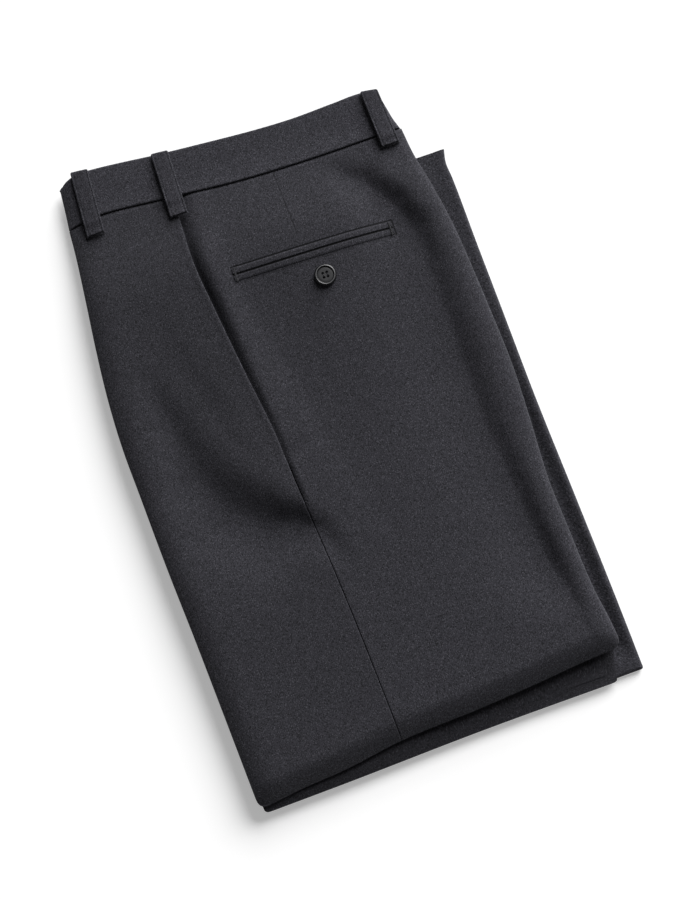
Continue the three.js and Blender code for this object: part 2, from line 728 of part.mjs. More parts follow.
/** A line just outside the turned-under legs, kept within the other leg. */
const roundLowerLegs = (gap) => ({
  ...otherLeg,
  left: (y) => Math.max(lowerLeft(y) - gap, otherLeg.left(y) + creaseClear),
  right: (y) => otherLeg.right(y) - creaseClear,
  turn: (x) => turnOther(x) + creaseClear,
  topY: () => hemY + gap,
});
const insideNearLeg = { ...otherLeg, left: creaseFront, right: creaseBack, turn: turnNear };
const lipRings = [
  { share: 0.0, side: 7.0, turn: 7.0 },
  { share: 0.09, side: 3.0, turn: 3.0 },
  { share: 0.25, side: 0.5, turn: 1.0 },
  { share: 0.5, side: 4.5, turn: 0.0 },
  { share: 0.75, side: 0.5, turn: 1.0 },
  { share: 0.91, side: 3.0, turn: 3.0 },
  { share: 1.0, side: 7.0, turn: 7.0 },
];

function hiddenRings() {
  const rings = [];
  const addRing = (layer, side, turn, heightAt, rightInset = side) => {
    const edge = wholeEdge(layer, { left: side, right: rightInset, turn });
    rings.push(edge.map(({ x, y }) => new THREE.Vector3(x, y, heightAt(x, y))));
  };
  const onLowerLegs = (x, y) => otherLegFloor * settle(x, y);
  const inside = { side: lowerFlat + 1, right: stripDepth + 1 };
  addRing(inLowerLegs, inside.side, inside.side, () => 0, inside.right);
  addRing(inLowerLegs, inside.side, inside.side, onLowerLegs, inside.right);
  addRing(roundLowerLegs(stepNear), 0, 0, onLowerLegs);
  addRing(roundLowerLegs(stepFar), 0, 0, otherLegUnderside);
  for (const ring of lipRings) {
    addRing(otherLeg, ring.side, ring.turn, (x, y) => (
      mix(otherLegUnderside(x, y), (nearLegFloor - seamGap) * settle(x, y), ring.share)
    ));
  }
  const tuckEnd = creaseTuck + seamGap;
  addRing(insideNearLeg, tuckEnd, tuckEnd, (x, y) => (nearLegFloor - seamGap) * settle(x, y));
  addRing(insideNearLeg, tuckEnd + 1, tuckEnd + 1, (x, y) => stackHeight * settle(x, y) - coreClear);
  return rings;
}

/** Rings of equal count stacked into one closed body, capped across from left to right. */
function stacked(rings) {
  const count = rings[0].length;
  const triangles = [];
  for (let k = 0; k < rings.length - 1; k += 1) {
    for (let i = 0; i < count; i += 1) {
      const [a, b] = [k * count + i, k * count + ((i + 1) % count)];
      triangles.push([a, b, b + count], [a, b + count, a + count]);
    }
  }
  const cap = (first, outward) => {
    for (let i = 0; i < (count - 1) / 2; i += 1) {
      const [l, m] = [first + i, first + i + 1];
      const [r, s] = [first + count - 1 - i, first + count - 2 - i];
      const fan = m === s ? [[l, m, r]] : [[l, m, s], [l, s, r]];
      triangles.push(...fan.map(([a, b, c]) => (outward ? [a, b, c] : [a, c, b])));
    }
  };
  cap(0, false);
  cap((rings.length - 1) * count, true);
  return solid(rings.flat(), triangles);
}
addPiece("hidden_layers", stacked(hiddenRings()), shadedSuiting);

export default trousers;
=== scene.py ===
"""Charcoal dress trousers, pressed, folded leg on leg and turned under once, on a pale table."""

import math

import bmesh
import bpy
import numpy as np
from mathutils import Matrix, Vector


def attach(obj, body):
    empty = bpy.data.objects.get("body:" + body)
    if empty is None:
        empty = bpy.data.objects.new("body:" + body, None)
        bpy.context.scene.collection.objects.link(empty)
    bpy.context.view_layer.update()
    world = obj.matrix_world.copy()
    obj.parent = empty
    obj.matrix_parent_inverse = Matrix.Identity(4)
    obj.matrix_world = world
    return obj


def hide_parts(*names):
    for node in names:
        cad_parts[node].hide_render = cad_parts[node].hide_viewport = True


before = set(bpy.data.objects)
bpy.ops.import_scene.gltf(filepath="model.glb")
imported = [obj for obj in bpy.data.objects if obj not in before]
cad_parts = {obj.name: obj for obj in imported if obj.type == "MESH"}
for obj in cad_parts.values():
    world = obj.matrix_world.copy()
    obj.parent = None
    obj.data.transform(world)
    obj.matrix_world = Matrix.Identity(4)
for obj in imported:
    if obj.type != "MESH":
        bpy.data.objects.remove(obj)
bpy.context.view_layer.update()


# ---- Suiting ----
# A worsted wool blend: charcoal yarn with scattered paler and darker fibres, woven in a fine twill
# and pressed flat. It is matt, with a trace of pale nap where it turns away.
CLOTH_DARK = (0.0085, 0.0085, 0.0105, 1)
CLOTH_MID = (0.0310, 0.0303, 0.0375, 1)
CLOTH_PALE = (0.076, 0.0745, 0.088, 1)
TWILL_PITCH = 0.0011
TWILL_SLANT = 0.9
FLECK_SIZE = 0.0008
DARK_FLECKS = (0.34, 0.54)
PALE_FLECKS = (0.54, 0.74)
MOTTLE_SCALE = 60.0
TWILL_RELIEF = 0.00005
FLECK_RELIEF = 0.00016
SEAM_RELIEF = 0.0006


def arithmetic(operation, swapped=False):
    """An operator of Shade, as one Math node."""
    def operator(self, other):
        return self.math(operation, *((other, self) if swapped else (self, other)))

    return operator


class Shade:
    """A value in a node tree, on which plain arithmetic adds Math nodes."""

    def __init__(self, tree, socket=None):
        self.tree = tree
        self.socket = socket

    def feed(self, target, value):
        if isinstance(value, Shade):
            self.tree.links.new(value.socket, target)
        else:
            target.default_value = value

    def fill(self, made, sockets):
        for name, value in sockets.items():
            self.feed(made.inputs[name], value)

    def node(self, kind, settings=None, sockets=None, out=0):
        made = self.tree.nodes.new(kind)
        for name, value in (settings or {}).items():
            setattr(made, name, value)
        self.fill(made, sockets or {})
        return Shade(self.tree, made.outputs[out])

    def math(self, operation, *values):
        return self.node("ShaderNodeMath", {"operation": operation}, dict(enumerate(values)))

    def noise(self, place, scale, detail):
        sockets = {"Vector": place, "Scale": scale, "Detail": detail}
        return self.node("ShaderNodeTexNoise", None, sockets)

    __add__, __radd__ = arithmetic("ADD"), arithmetic("ADD", True)
    __sub__, __rsub__ = arithmetic("SUBTRACT"), arithmetic("SUBTRACT", True)
    __mul__, __rmul__ = arithmetic("MULTIPLY"), arithmetic("MULTIPLY", True)
    __truediv__ = arithmetic("DIVIDE")

    def between(self, low, high):
        """0 below low, 1 above high, soft between."""
        sockets = {"Value": self, "From Min": low, "From Max": high}
        return self.node("ShaderNodeMapRange", {"interpolation_type": "SMOOTHSTEP"}, sockets)


def blend(factor, first, second):
    """A colour between two colours."""
    sockets = {"Factor": factor, 6: first, 7: second}
    return factor.node("ShaderNodeMix", {"data_type": "RGBA"}, sockets, 2)


def near_line(u, v, line, width):
    """1 on a straight seam line between two points in metres, 0 at width away from it."""
    (x0, y0), (x1, y1) = line
    run_x, run_y = x1 - x0, y1 - y0
    along = ((u - x0) * run_x + (v - y0) * run_y) / (run_x**2 + run_y**2)
    along = along.math("MINIMUM", along.math("MAXIMUM", along, 0.0), 1.0)
    off_x = u - x0 - along * run_x
    off_y = v - y0 - along * run_y
    squared = off_x * off_x + off_y * off_y
    return 1 - squared.math("SQRT", squared).between(0.0, width)


def suiting(name, tone=1.0, shade_lines=()):
    """The cloth as a material, darkened as painted shade along the given lines, rows of (ends,
    width, strength) in metres, where its bump is dented too.
    """
    material = bpy.data.materials.new(name)
    material.use_nodes = True
    tree = material.node_tree
    tree.nodes.clear()
    start = Shade(tree)
    uv = start.node("ShaderNodeUVMap", {"uv_map": "cloth"})
    parts = tree.nodes.new("ShaderNodeSeparateXYZ")
    tree.links.new(uv.socket, parts.inputs[0])
    u, v = Shade(tree, parts.outputs[0]), Shade(tree, parts.outputs[1])

    def noise(u_scale, v_scale, detail, layer):
        place = {"X": u * u_scale, "Y": v * v_scale, "Z": layer}
        return start.noise(start.node("ShaderNodeCombineXYZ", None, place), 1.0, detail)

    fleck = noise(1 / FLECK_SIZE, 0.6 / FLECK_SIZE, 2.0, 0.3)
    second = noise(1 / FLECK_SIZE, 0.75 / FLECK_SIZE, 1.0, 7.7)
    mottle = noise(MOTTLE_SCALE, MOTTLE_SCALE, 2.0, 3.1)
    shade = blend(fleck.between(*DARK_FLECKS), CLOTH_DARK, CLOTH_MID)
    shade = blend(second.between(*PALE_FLECKS), shade, CLOTH_PALE)
    level = (0.94 + 0.12 * mottle) * tone
    pressed = None
    # Painted shade: the colour darkens along each given line, where a seam groove or a gap between
    # strips would hold shade.
    for ends, width, strength in shade_lines:
        close = near_line(u, v, ends, width) * strength
        pressed = close if pressed is None else pressed.math("MAXIMUM", pressed, close)
    if pressed is not None:
        level = level * (1 - pressed)
    colour = start.node("ShaderNodeVectorMath", {"operation": "SCALE"}, {0: shade, "Scale": level})
    phase = (u + v * TWILL_SLANT) * (2 * math.pi / TWILL_PITCH)
    height = TWILL_RELIEF * phase.math("SINE", phase) + FLECK_RELIEF * fleck
    if pressed is not None:
        height = height - SEAM_RELIEF * pressed
    bump = start.node("ShaderNodeBump", None, {"Height": height, "Strength": 1.0, "Distance": 1.0})
    surface = tree.nodes.new("ShaderNodeBsdfPrincipled")
    start.fill(surface, {
        "Base Color": colour, "Normal": bump, "Roughness": 0.92, "Specular IOR Level": 0.22,
        "Sheen Weight": 0.10, "Sheen Roughness": 0.5, "Sheen Tint": (0.75, 0.77, 0.85, 1),
    })
    output = tree.nodes.new("ShaderNodeOutputMaterial")
    tree.links.new(surface.outputs[0], output.inputs[0])
    return material


cloth = suiting("suiting")
# Copies of the suiting in other tones stand in for light and shade: the front panel's darker copy
# is painted shade, the waistband's lighter copy is painted light.
front_cloth_shaded = suiting("suiting_front_shaded", 0.85)
band_cloth_lit = suiting("suiting_band_lit", 1.10)
# The layers inside the stack take a much darker copy of the suiting: painted shade, where the near
# leg shades them.
shaded_inside_cloth = suiting("suiting_inside_shaded", 0.64)


# ---- Front panel ----
# The near leg's front, from the front crease to the side seam. Its free edge is the mouth of the
# side pocket, above a short tacked stretch; the edge of the pocket bag presses through below it.
MM = 0.001
CLOTH_SKIN = 0.9
SEAM_GAP = 0.3
STACK = 24.0
WAIST = 13.2
NEAR_LEG_FLOOR = 13.3
WAIST_SLOPE = (150, 240)
SIDE_SAG = 0.14
SAG_ACROSS = (40, 150)
SAG_FOOT, SAG_HEAD = (-120, 110), (150, 235)

front_crease = [
    (226, -153.6), (204, -155), (163, -159.2), (123, -163.8), (83, -167.3), (43, -168.6),
    (1, -167.4), (-60, -165.4), (-122, -162.3), (-183, -159.8), (-266, -156.6),
]
back_crease = [
    (217, 129.6), (193, 131.8), (172, 135.8), (131, 142.2), (98, 145), (50, 147.8), (6, 149.6),
    (-38, 148.6), (-93, 146.2), (-130, 147.8), (-187, 151), (-212, 154.6), (-238, 157.2),
]
near_turn = [
    (-158, -265.6), (-123, -260.8), (-79, -257), (-34, -250.4), (34, -246.7), (84, -242.8),
    (122, -239), (158, -236.6),
]
side_seam = [
    (226, -65), (203, -65.5), (165, -66.2), (126, -62.4), (64, -55.2), (20, -49.4), (-38, -45.4),
    (-97, -40.6), (-148, -37.4), (-246, -33),
]
waist_seam = [
    (-154, 225.4), (-128, 228.8), (-74, 224.8), (-9, 218.9), (36, 217.3), (70, 217.1), (132, 218.2),
]


def through(rows):
    """A smooth curve through rows of (place, value), straight past both ends."""
    at, value = np.array(sorted(rows), float).T
    chord = np.diff(value) / np.diff(at)
    slope = np.concatenate([chord[:1], (chord[:-1] + chord[1:]) / 2, chord[-1:]])

    def curve(place):
        place = np.asarray(place, float)
        i = np.clip(np.searchsorted(at, place) - 1, 0, len(at) - 2)
        span = at[i + 1] - at[i]
        t = (place - at[i]) / span
        a, b = value[i], value[i + 1]
        m, n = slope[i] * span, slope[i + 1] * span
        within = a + t * (m + t * (3 * (b - a) - 2 * m - n + t * (m + n - 2 * (b - a))))
        before = value[0] + slope[0] * (place - at[0])
        after = value[-1] + slope[-1] * (place - at[-1])
        return np.where(place <= at[0], before, np.where(place >= at[-1], after, within))

    return curve


def ease(at, low, high):
    """0 below low, 1 above high, smooth between."""
    t = np.clip((np.asarray(at, float) - low) / (high - low), 0, 1)
    return t * t * (3 - 2 * t)


def mix(a, b, t):
    """From a to b as t goes from 0 to 1."""
    return a + (b - a) * t


def nearness(away, reach):
    """1 at an edge, falling evenly to 0 at reach from it."""
    return np.clip(1 - away / reach, 0, 1)


def rounded(away, radius):
    """Drop of a rounded edge at a distance from it."""
    inside = np.clip(radius - away, 0, radius)
    return radius - np.sqrt(radius * radius - inside * inside)


front_x = through(front_crease)
back_x = through(back_crease)
turn_y = through(near_turn)
seam_x = through(side_seam)
waist_y = through(waist_seam)


def settle(x, y):
    """The stack's height as a share of the full one, which it has over the turned-under legs."""
    waist_sag = (1 - WAIST / STACK) * ease(y, *WAIST_SLOPE)
    toward_front = ease(-np.asarray(x, float), *SAG_ACROSS)
    side_sag = SIDE_SAG * toward_front * ease(y, *SAG_FOOT) * (1 - ease(y, *SAG_HEAD))
    return 1 - waist_sag - side_sag


TURN_DROOP, TURN_REACH, TURN_CURVE = 8.2, 19, 1.8
SIDE_DROOP, SIDE_REACH = 3.8, 24
WAIST_DITCH = 0.35
WAIST_ROUND = 1.1
BLEND_CORE = 2.0
BLEND_POWER = 6
BLEND_SIDES = 3

# Soft creases, each a run downward of (x, y, depth, spread to its left, spread to its right) as
# seen from above; a depth below 0 is a ridge.
creases = {
    "beside the seat": [
        (60, 205, 0.8, 12, 9), (85, 184, 5.8, 20, 11), (101, 159.5, 8.2, 30, 12),
        (109, 135.7, 7, 40, 13), (110.6, 102.7, 4.8, 48, 13), (110.7, 68, 4.8, 52, 13),
        (110.8, 16.8, 5.6, 52, 13), (111.4, -29.5, 4.8, 50, 12), (115.6, -72, 5, 46, 11),
        (119, -118.7, 5.8, 42, 11), (124.3, -156, 6, 34, 10), (134, -200, 1.4, 18, 7),
    ],
    "seat ridge": [
        (100, 204, -0.2, 7, 8), (116, 172, -0.5, 8, 10), (128, 137, -0.6, 8, 12),
        (133, 80, -0.4, 8, 12), (134, 10, -0.5, 8, 12), (133.5, -60, -0.3, 8, 12),
        (135.5, -118, -0.4, 8, 11), (141, -180, -0.3, 7, 9), (147, -215, -0.1, 6, 7),
    ],
    "pocket bag": [
        (-131, 84, 1, 12, 10), (-127, 44, 4.6, 18, 15), (-120, -2, 7, 30, 21),
        (-104, -36, 9.2, 40, 25), (-80, -55, 9.2, 42, 22), (-56, -61, 7.8, 40, 12),
        (-42, -71, 4, 22, 10), (-30, -96, 0.8, 10, 8),
    ],
    "over the pocket bag": [
        (-96, 40, -0.2, 14, 22), (-84, 4, -1, 16, 24), (-70, -18, -1.5, 15, 22),
        (-55, -34, -1.5, 12, 18), (-46, -42, -0.8, 9, 12),
    ],
    "pocket bag top": [
        (-112, 128, 0.4, 24, 12), (-103, 90, 1.4, 30, 13), (-94, 50, 1.6, 30, 12),
        (-83, 18, 1, 24, 10), (-70, -6, 0.4, 18, 8),
    ],
    "beside the mouth": [
        (-36, 205, 0.5, 8, 20), (-36, 160, 2.2, 12, 34), (-32, 118, 3, 15, 44),
        (-20, 64, 3, 18, 48), (-10, 20, 2.6, 18, 46), (-2, -20, 1.6, 16, 40),
        (8, -70, 0.4, 14, 30),
    ],
    "mouth tack": [(-14, 1, 0.2, 5, 8), (-30, -1, 0.6, 5, 8), (-44, -4, 0.9, 5, 7)],
}


def crease_depth(run, x, y):
    """Depth of one soft crease, blended from its stretches by how near each of them lies."""
    rows = np.array(run, float)
    depth = np.zeros(np.shape(x))
    total = np.zeros(np.shape(x))
    for a, b in zip(rows[:-1], rows[1:]):
        run_x, run_y = b[0] - a[0], b[1] - a[1]
        length = math.hypot(run_x, run_y)
        t = np.clip(((x - a[0]) * run_x + (y - a[1]) * run_y) / length**2, 0, 1)
        away = np.hypot(x - a[0] - t * run_x, y - a[1] - t * run_y)
        beside = ((y - a[1]) * run_x - (x - a[0]) * run_y) / length
        to_right = ease(beside, -BLEND_SIDES, BLEND_SIDES)
        spread = mix(mix(a[3], b[3], t), mix(a[4], b[4], t), to_right)
        near = (away + BLEND_CORE) ** -BLEND_POWER
        depth = depth + near * mix(a[2], b[2], t) * np.exp(-((away / spread) ** 2))
        total = total + near
    return depth / total


def top_height(x, y):
    """The near leg's upper face, drooping to its turn and a little to its front crease."""
    height = STACK * settle(x, y)
    height = height - TURN_DROOP * nearness(y - turn_y(x), TURN_REACH) ** TURN_CURVE
    height = height - SIDE_DROOP * settle(x, y) * nearness(x - front_x(y), SIDE_REACH) ** 2
    height = height - rounded(np.clip(waist_y(x) - WAIST_DITCH - y, 0, None), WAIST_ROUND)
    for run in creases.values():
        height = height - crease_depth(run, x, y)
    return height


TIGHTEST_CORNER = 2.0
CORNER_GUESS = -250.0
CORNER_STEPS = 8


def half_edge(layer, side, side_inset=0.0, turn_inset=0.0):
    """Half the edge of one layer, down its crease, round the corner and along the turn."""
    crease = layer["left"] if side < 0 else layer["right"]
    middle = layer["middle"][0] if side < 0 else layer["middle"][1]
    side_steps, turn_steps = layer["side_steps"], layer["turn_steps"]
    k = np.arange(side_steps + CORNER_STEPS + turn_steps + 2)
    side_inset = np.broadcast_to(np.asarray(side_inset, float), k.shape)
    turn_inset = np.broadcast_to(np.asarray(turn_inset, float), k.shape)

    def edge_x(y):
        return crease(y) - side * side_inset

    def edge_y(x):
        return layer["turn"](x) + turn_inset

    radius = np.maximum(layer["corner"] - np.minimum(side_inset, turn_inset), TIGHTEST_CORNER)
    corner_x = edge_x(np.full(k.shape, CORNER_GUESS))
    for _ in range(3):
        corner_y = edge_y(corner_x)
        corner_x = edge_x(corner_y)
    top = layer["top"](side)
    start_y = corner_y + radius
    start_x = edge_x(start_y)
    shoulder, lead = layer.get("shoulder", top), layer.get("lead", 0)
    below = mix(shoulder, start_y, np.clip((k - lead) / (side_steps - lead), 0, 1))
    side_y = np.where(k < lead, mix(top, shoulder, k / max(lead, 1)), below)
    end_x = corner_x - side * radius
    end_y = edge_y(end_x)
    t = np.clip((k - side_steps) / (CORNER_STEPS + 1), 0, 1)
    p, q, r = (1 - t) ** 2, 2 * t * (1 - t), t * t
    share = np.clip((k - side_steps - CORNER_STEPS - 1) / turn_steps, 0, 1)
    along_x = mix(end_x, middle, 1 - (1 - share) ** layer.get("crowd", 1.0))
    x = np.where(k <= side_steps, edge_x(side_y), p * start_x + q * corner_x + r * end_x)
    y = np.where(k <= side_steps, side_y, p * start_y + q * corner_y + r * end_y)
    return np.where(share > 0, along_x, x), np.where(share > 0, edge_y(along_x), y)


def fold_profile(steps):
    """Angles round a folded edge, as (share of the inset, rise, whether it is the upper half)."""
    for i in range(steps + 1):
        angle = math.pi * i / steps
        yield 1 - math.sin(angle), (1 - math.cos(angle)) / 2, angle >= math.pi / 2


FOLD_STEPS = 12
CREASE_TUCK = 12.0
ROLL_UNDER = 5.0
ROLL_OVER = 14.0
TURN_OVER = 14.0
SEAM_FAN = 70.0
SEAM_FOOT = -246.0
MOUTH_FOOT = -8.0
MOUTH_WIDEST = 150.0
MOUTH_BLEND = 12
UNDERLAP = 8.0
PULLED_ROWS = 14
WAIST_SHARE = 0.24


def at_mouth(y):
    """1 along the open mouth of the side pocket, 0 along the sewn seam."""
    return ease(y, MOUTH_FOOT - MOUTH_BLEND, MOUTH_FOOT + MOUTH_BLEND)


def front_line(y):
    """The front panel's edge at the side seam."""
    return seam_x(y)


def back_line(y):
    """The back panel's edge at the side seam, running on beneath the front one at the mouth."""
    return seam_x(y) + mix(SEAM_GAP, -UNDERLAP, at_mouth(y))


near_leg = {
    "left": front_x,
    "right": back_x,
    "turn": turn_y,
    "middle": (float(front_line(SEAM_FOOT)), float(back_line(SEAM_FOOT))),
    "corner": 9.0,
    "top": lambda side: float(waist_y(front_x(225) if side < 0 else back_x(217))) - WAIST_DITCH,
    "side_steps": 250,
    "turn_steps": 44,
    "crowd": 1.6,
}
# How far from the side seam the last columns lie, close set for its rounded edge.
BESIDE_SEAM = [6.0, 4.5, 3.2, 2.2, 1.5, 1.0, 0.6, 0.3, 0.0]


def near_leg_surface(side, line, across):
    """The near leg's outer face on one side of the side seam, and the cloth laid flat."""
    base_x, base_y = half_edge(near_leg, side)
    k = np.arange(len(base_x))
    pull = np.clip((k - len(k) + 1) / PULLED_ROWS + 1, 0, 1)
    foot_x = float(line(SEAM_FOOT))
    over = mix(ROLL_UNDER, ROLL_OVER, ease(settle(base_x, base_y), 0.5, 1))
    tuck_x, tuck_y = half_edge(near_leg, side, CREASE_TUCK, CREASE_TUCK)
    tuck_x = tuck_x + pull * (line(tuck_y) - foot_x)
    columns = [np.stack([tuck_x, tuck_y, NEAR_LEG_FLOOR * settle(tuck_x, tuck_y)], -1)]
    for share, rise, upper in fold_profile(FOLD_STEPS):
        inset = share * (over if upper else ROLL_UNDER)
        turn_inset = share * (TURN_OVER if upper else ROLL_UNDER)
        x, y = half_edge(near_leg, side, inset, turn_inset)
        x = x + pull * (line(y) - foot_x)
        height = mix(NEAR_LEG_FLOOR * settle(x, y), top_height(x, y), rise)
        columns.append(np.stack([x, y, height], -1))
    rolled = len(columns) - 1
    last_side = near_leg["side_steps"]
    line_top = float(waist_y(seam_x(225))) - WAIST_DITCH
    fan_foot = float(turn_y(seam_x(SEAM_FOOT))) + SEAM_FAN / 2
    fan_head = fan_foot + SEAM_FAN / 2
    fan = np.clip((k - last_side) / (len(k) - 1 - last_side), 0, 1)
    beside_crease = mix(line_top, fan_head, k / last_side)
    line_y = np.where(k <= last_side, beside_crease, mix(fan_head, fan_foot, fan))
    line_x = line(line_y)
    run = np.hypot(line_x - x, line_y - y)
    open_part = 1 - BESIDE_SEAM[0] / run
    shares = [np.full(k.shape, i / across) * open_part for i in range(1, across + 1)]
    shares += [1 - reach / run for reach in BESIDE_SEAM[1:]]
    near_waist = nearness(k, WAIST_SHARE * last_side)
    for share in shares:
        px = mix(x, line_x, share)
        row_top = mix(near_leg["top"](side), line_top, share)
        py = mix(y, line_y, share) + near_waist * (waist_y(px) - WAIST_DITCH - row_top)
        columns.append(np.stack([px, py, top_height(px, py)], -1))
    surface = np.stack(columns, 1)
    return surface, flat_cloth(surface, rolled)


def flat_cloth(surface, rolled):
    """Where each point lies on the cloth: as seen from above, and unrolled past the folded edge."""
    laid = surface[..., :2].copy()
    out = laid[:, rolled // 2] - laid[:, rolled]
    out /= np.linalg.norm(out, axis=-1, keepdims=True)
    for c in range(rolled - 1, -1, -1):
        step = np.linalg.norm(surface[:, c] - surface[:, c + 1], axis=-1, keepdims=True)
        laid[:, c] = laid[:, c + 1] + out * step
    return laid


def face_normals(surface):
    """Outward normals of a grid of points, up where the grid faces up."""
    padded_rows = np.concatenate([surface[:1], surface, surface[-1:]])
    padded_columns = np.concatenate([surface[:, :1], surface, surface[:, -1:]], 1)
    down = padded_rows[2:] - padded_rows[:-2]
    across = padded_columns[:, 2:] - padded_columns[:, :-2]
    normals = np.cross(down, across)
    normals /= np.maximum(np.linalg.norm(normals, axis=-1, keepdims=True), 1e-9)
    for r, c, next_r, next_c in [(0, 0, 1, 1), (0, -1, 1, -2), (-1, 0, -2, 1), (-1, -1, -2, -2)]:
        normals[r, c] = normals[next_r, next_c]
    height = surface[..., 2]
    on_top = height > height.max() * 0.9
    return normals if normals[..., 2][on_top].sum() > 0 else -normals


def placed(name, data):
    """A new object in the scene."""
    obj = bpy.data.objects.new(name, data)
    bpy.context.scene.collection.objects.link(obj)
    return obj


def piece_from(name, points, faces, laid, material, corner_angle=50):
    """A finished piece of the scene from points in millimetres, its faces turned outward."""
    points = np.asarray(points, float) * MM
    faces = [tuple(int(i) for i in face) for face in faces]
    first = np.array([face[:3] for face in faces])
    a, b, c = points[first[:, 0]], points[first[:, 1]], points[first[:, 2]]
    if np.einsum("ij,ij->i", a, np.cross(b, c)).sum() < 0:
        faces = [face[::-1] for face in faces]
    mesh = bpy.data.meshes.new(name)
    mesh.from_pydata(points.tolist(), [], faces)
    mesh.update()
    layer = mesh.uv_layers.new(name="cloth")
    loops = np.empty(len(mesh.loops), int)
    mesh.loops.foreach_get("vertex_index", loops)
    layer.data.foreach_set("uv", (np.asarray(laid, float) * MM)[loops].ravel())
    mesh.polygons.foreach_set("use_smooth", [True] * len(mesh.polygons))
    mesh.set_sharp_from_angle(angle=math.radians(corner_angle))
    mesh.materials.append(material)
    return placed(name, mesh)


def skin(name, surface, laid, thickness, material):
    """A thin closed skin of cloth under a grid of outer points."""
    inner = surface - face_normals(surface) * thickness
    rows, columns = surface.shape[:2]
    count = rows * columns
    index = np.arange(count).reshape(rows, columns)
    corners = [index[:-1, :-1], index[:-1, 1:], index[1:, 1:], index[1:, :-1]]
    outer = np.stack(corners, -1).reshape(-1, 4)
    border = np.concatenate([index[0, :-1], index[:-1, -1], index[-1, :0:-1], index[:0:-1, 0]])
    after = np.roll(border, -1)
    rim = np.stack([after, border, border + count, after + count], -1)
    faces = np.concatenate([outer, outer[:, ::-1] + count, rim])
    points = np.concatenate([surface.reshape(-1, 3), inner.reshape(-1, 3)])
    return piece_from(name, points, faces, np.concatenate([laid.reshape(-1, 2)] * 2), material)


def sew_on(obj, node):
    """Sets a finished piece on the root body and hides the imported part that it stands for."""
    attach(obj, "root")
    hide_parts(node)


FRONT_COLUMNS = 56
LIP_RISE = 0.35
LIP_WIDTH = 2.2
EDGE_ROUND = 0.8

front_surface, front_laid = near_leg_surface(-1, front_line, FRONT_COLUMNS)
normals = face_normals(front_surface)
past_seam = seam_x(front_surface[..., 1]) - front_surface[..., 0]
lip_shape = np.exp(-((past_seam - LIP_WIDTH) / LIP_WIDTH) ** 2)
lip = LIP_RISE * at_mouth(front_surface[..., 1]) * lip_shape
rise = lip - rounded(np.maximum(past_seam, 0), EDGE_ROUND)
front_surface = front_surface + normals * rise[..., None]
# Its darker suiting is painted shade.
front_panel = skin("front_panel_cloth", front_surface, front_laid, CLOTH_SKIN, front_cloth_shaded)
sew_on(front_panel, "front_panel")


# ---- Back panel ----
# The near leg's back, from the side seam to the back crease. A dart takes in its waist, and it
# drops away beside the open mouth of the side pocket, running on beneath the front panel's edge.
BACK_COLUMNS = 92
MOUTH_DROP, MOUTH_REACH = 7.5, 13.0
TACK_DROP, TACK_REACH = 2.4, 5
MOUTH_CURVE = 2.1
TACK_FADE = (MOUTH_FOOT - 46, MOUTH_FOOT - 28)
HELD_SHUT = (165, 212)
HELD_DROP, HELD_REACH = 0.4, 6
# Painted shade on the back panel, as (ends, width, strength) in metres: a dark line along the dart,
# and dark lines along the welts' upper edge, between and below them, and at their back end.
DART_SHADE = (((0.0182, 0.2155), (0.0200, 0.1620)), 0.0011, 0.34)
WELT_DITCH_SHADE = [
    (((-0.0395, 0.1518), (0.0958, 0.1476)), 0.0013, 0.80),
    (((-0.0392, 0.1456), (0.0956, 0.1414)), 0.0016, 0.95),
    (((-0.0390, 0.1389), (0.0958, 0.1348)), 0.0030, 0.22),
    (((0.0962, 0.1474), (0.0962, 0.1352)), 0.0011, 0.75),
]

back_cloth = suiting("suiting_back", 0.93, [DART_SHADE, *WELT_DITCH_SHADE])
back_surface, back_laid = near_leg_surface(1, back_line, BACK_COLUMNS)
normals = face_normals(back_surface)
bx, by = back_surface[..., 0], back_surface[..., 1]
past_seam = bx - seam_x(by)
opening = ease(by, MOUTH_FOOT, MOUTH_WIDEST)
held_shut = ease(by, *HELD_SHUT)
beside = ease(by, *TACK_FADE)
reach = mix(TACK_REACH, MOUTH_REACH, opening) + HELD_REACH * held_shut
hollow = nearness(past_seam - SEAM_GAP, reach) ** MOUTH_CURVE
drop = mix(TACK_DROP, MOUTH_DROP, opening * (1 - HELD_DROP * held_shut)) * beside * hollow
closed = 1 - at_mouth(by)
drop = drop + closed * rounded(np.maximum(past_seam - SEAM_GAP, 0), EDGE_ROUND)
back_surface = back_surface - normals * drop[..., None]
back_panel = skin("back_panel_cloth", back_surface, back_laid, CLOTH_SKIN, back_cloth)
sew_on(back_panel, "back_panel")


# ---- Waistband ----
# One stiffened band of doubled suiting. Its front end turns under at the front crease and its back
# end folds at the seat; it stands a little above the panels that are sewn to it.
BAND_SKIN = 1.3
BAND_PROUD = 1.0
BAND_TUCK = 6.0
FRONT_ROLL, BACK_ROLL = 10.0, 5.0
BAND_ROUND = 1.3
BAND_DROOP, BAND_DROOP_REACH = 3.2, 17
BAND_WIDTH = 37.0
BAND_LOW, BAND_HIGH = 226.0, 264.0
BAND_FOLD_STEPS = 10
BAND_STEPS = 120
BACK_SLANT = 8

band_top_y = through([
    (-152, 256.5), (-147, 262.2), (-138, 266.4), (-130, 267.6), (-118, 267.2), (-100, 265.6),
    (-71, 262.4), (-30, 258.8), (16, 255.4), (49, 254.4), (83, 255.6), (108, 256.2), (115, 254.8),
    (119, 252.6), (122, 248.5), (124, 245.0),
])
band_front_x = through([(225, -153.6), (245, -151.8), (268, -150.0)])
band_back_x = through([(218, 128.6), (227, 127.0), (234, 125.6), (246, 123.7), (256, 121.8)])


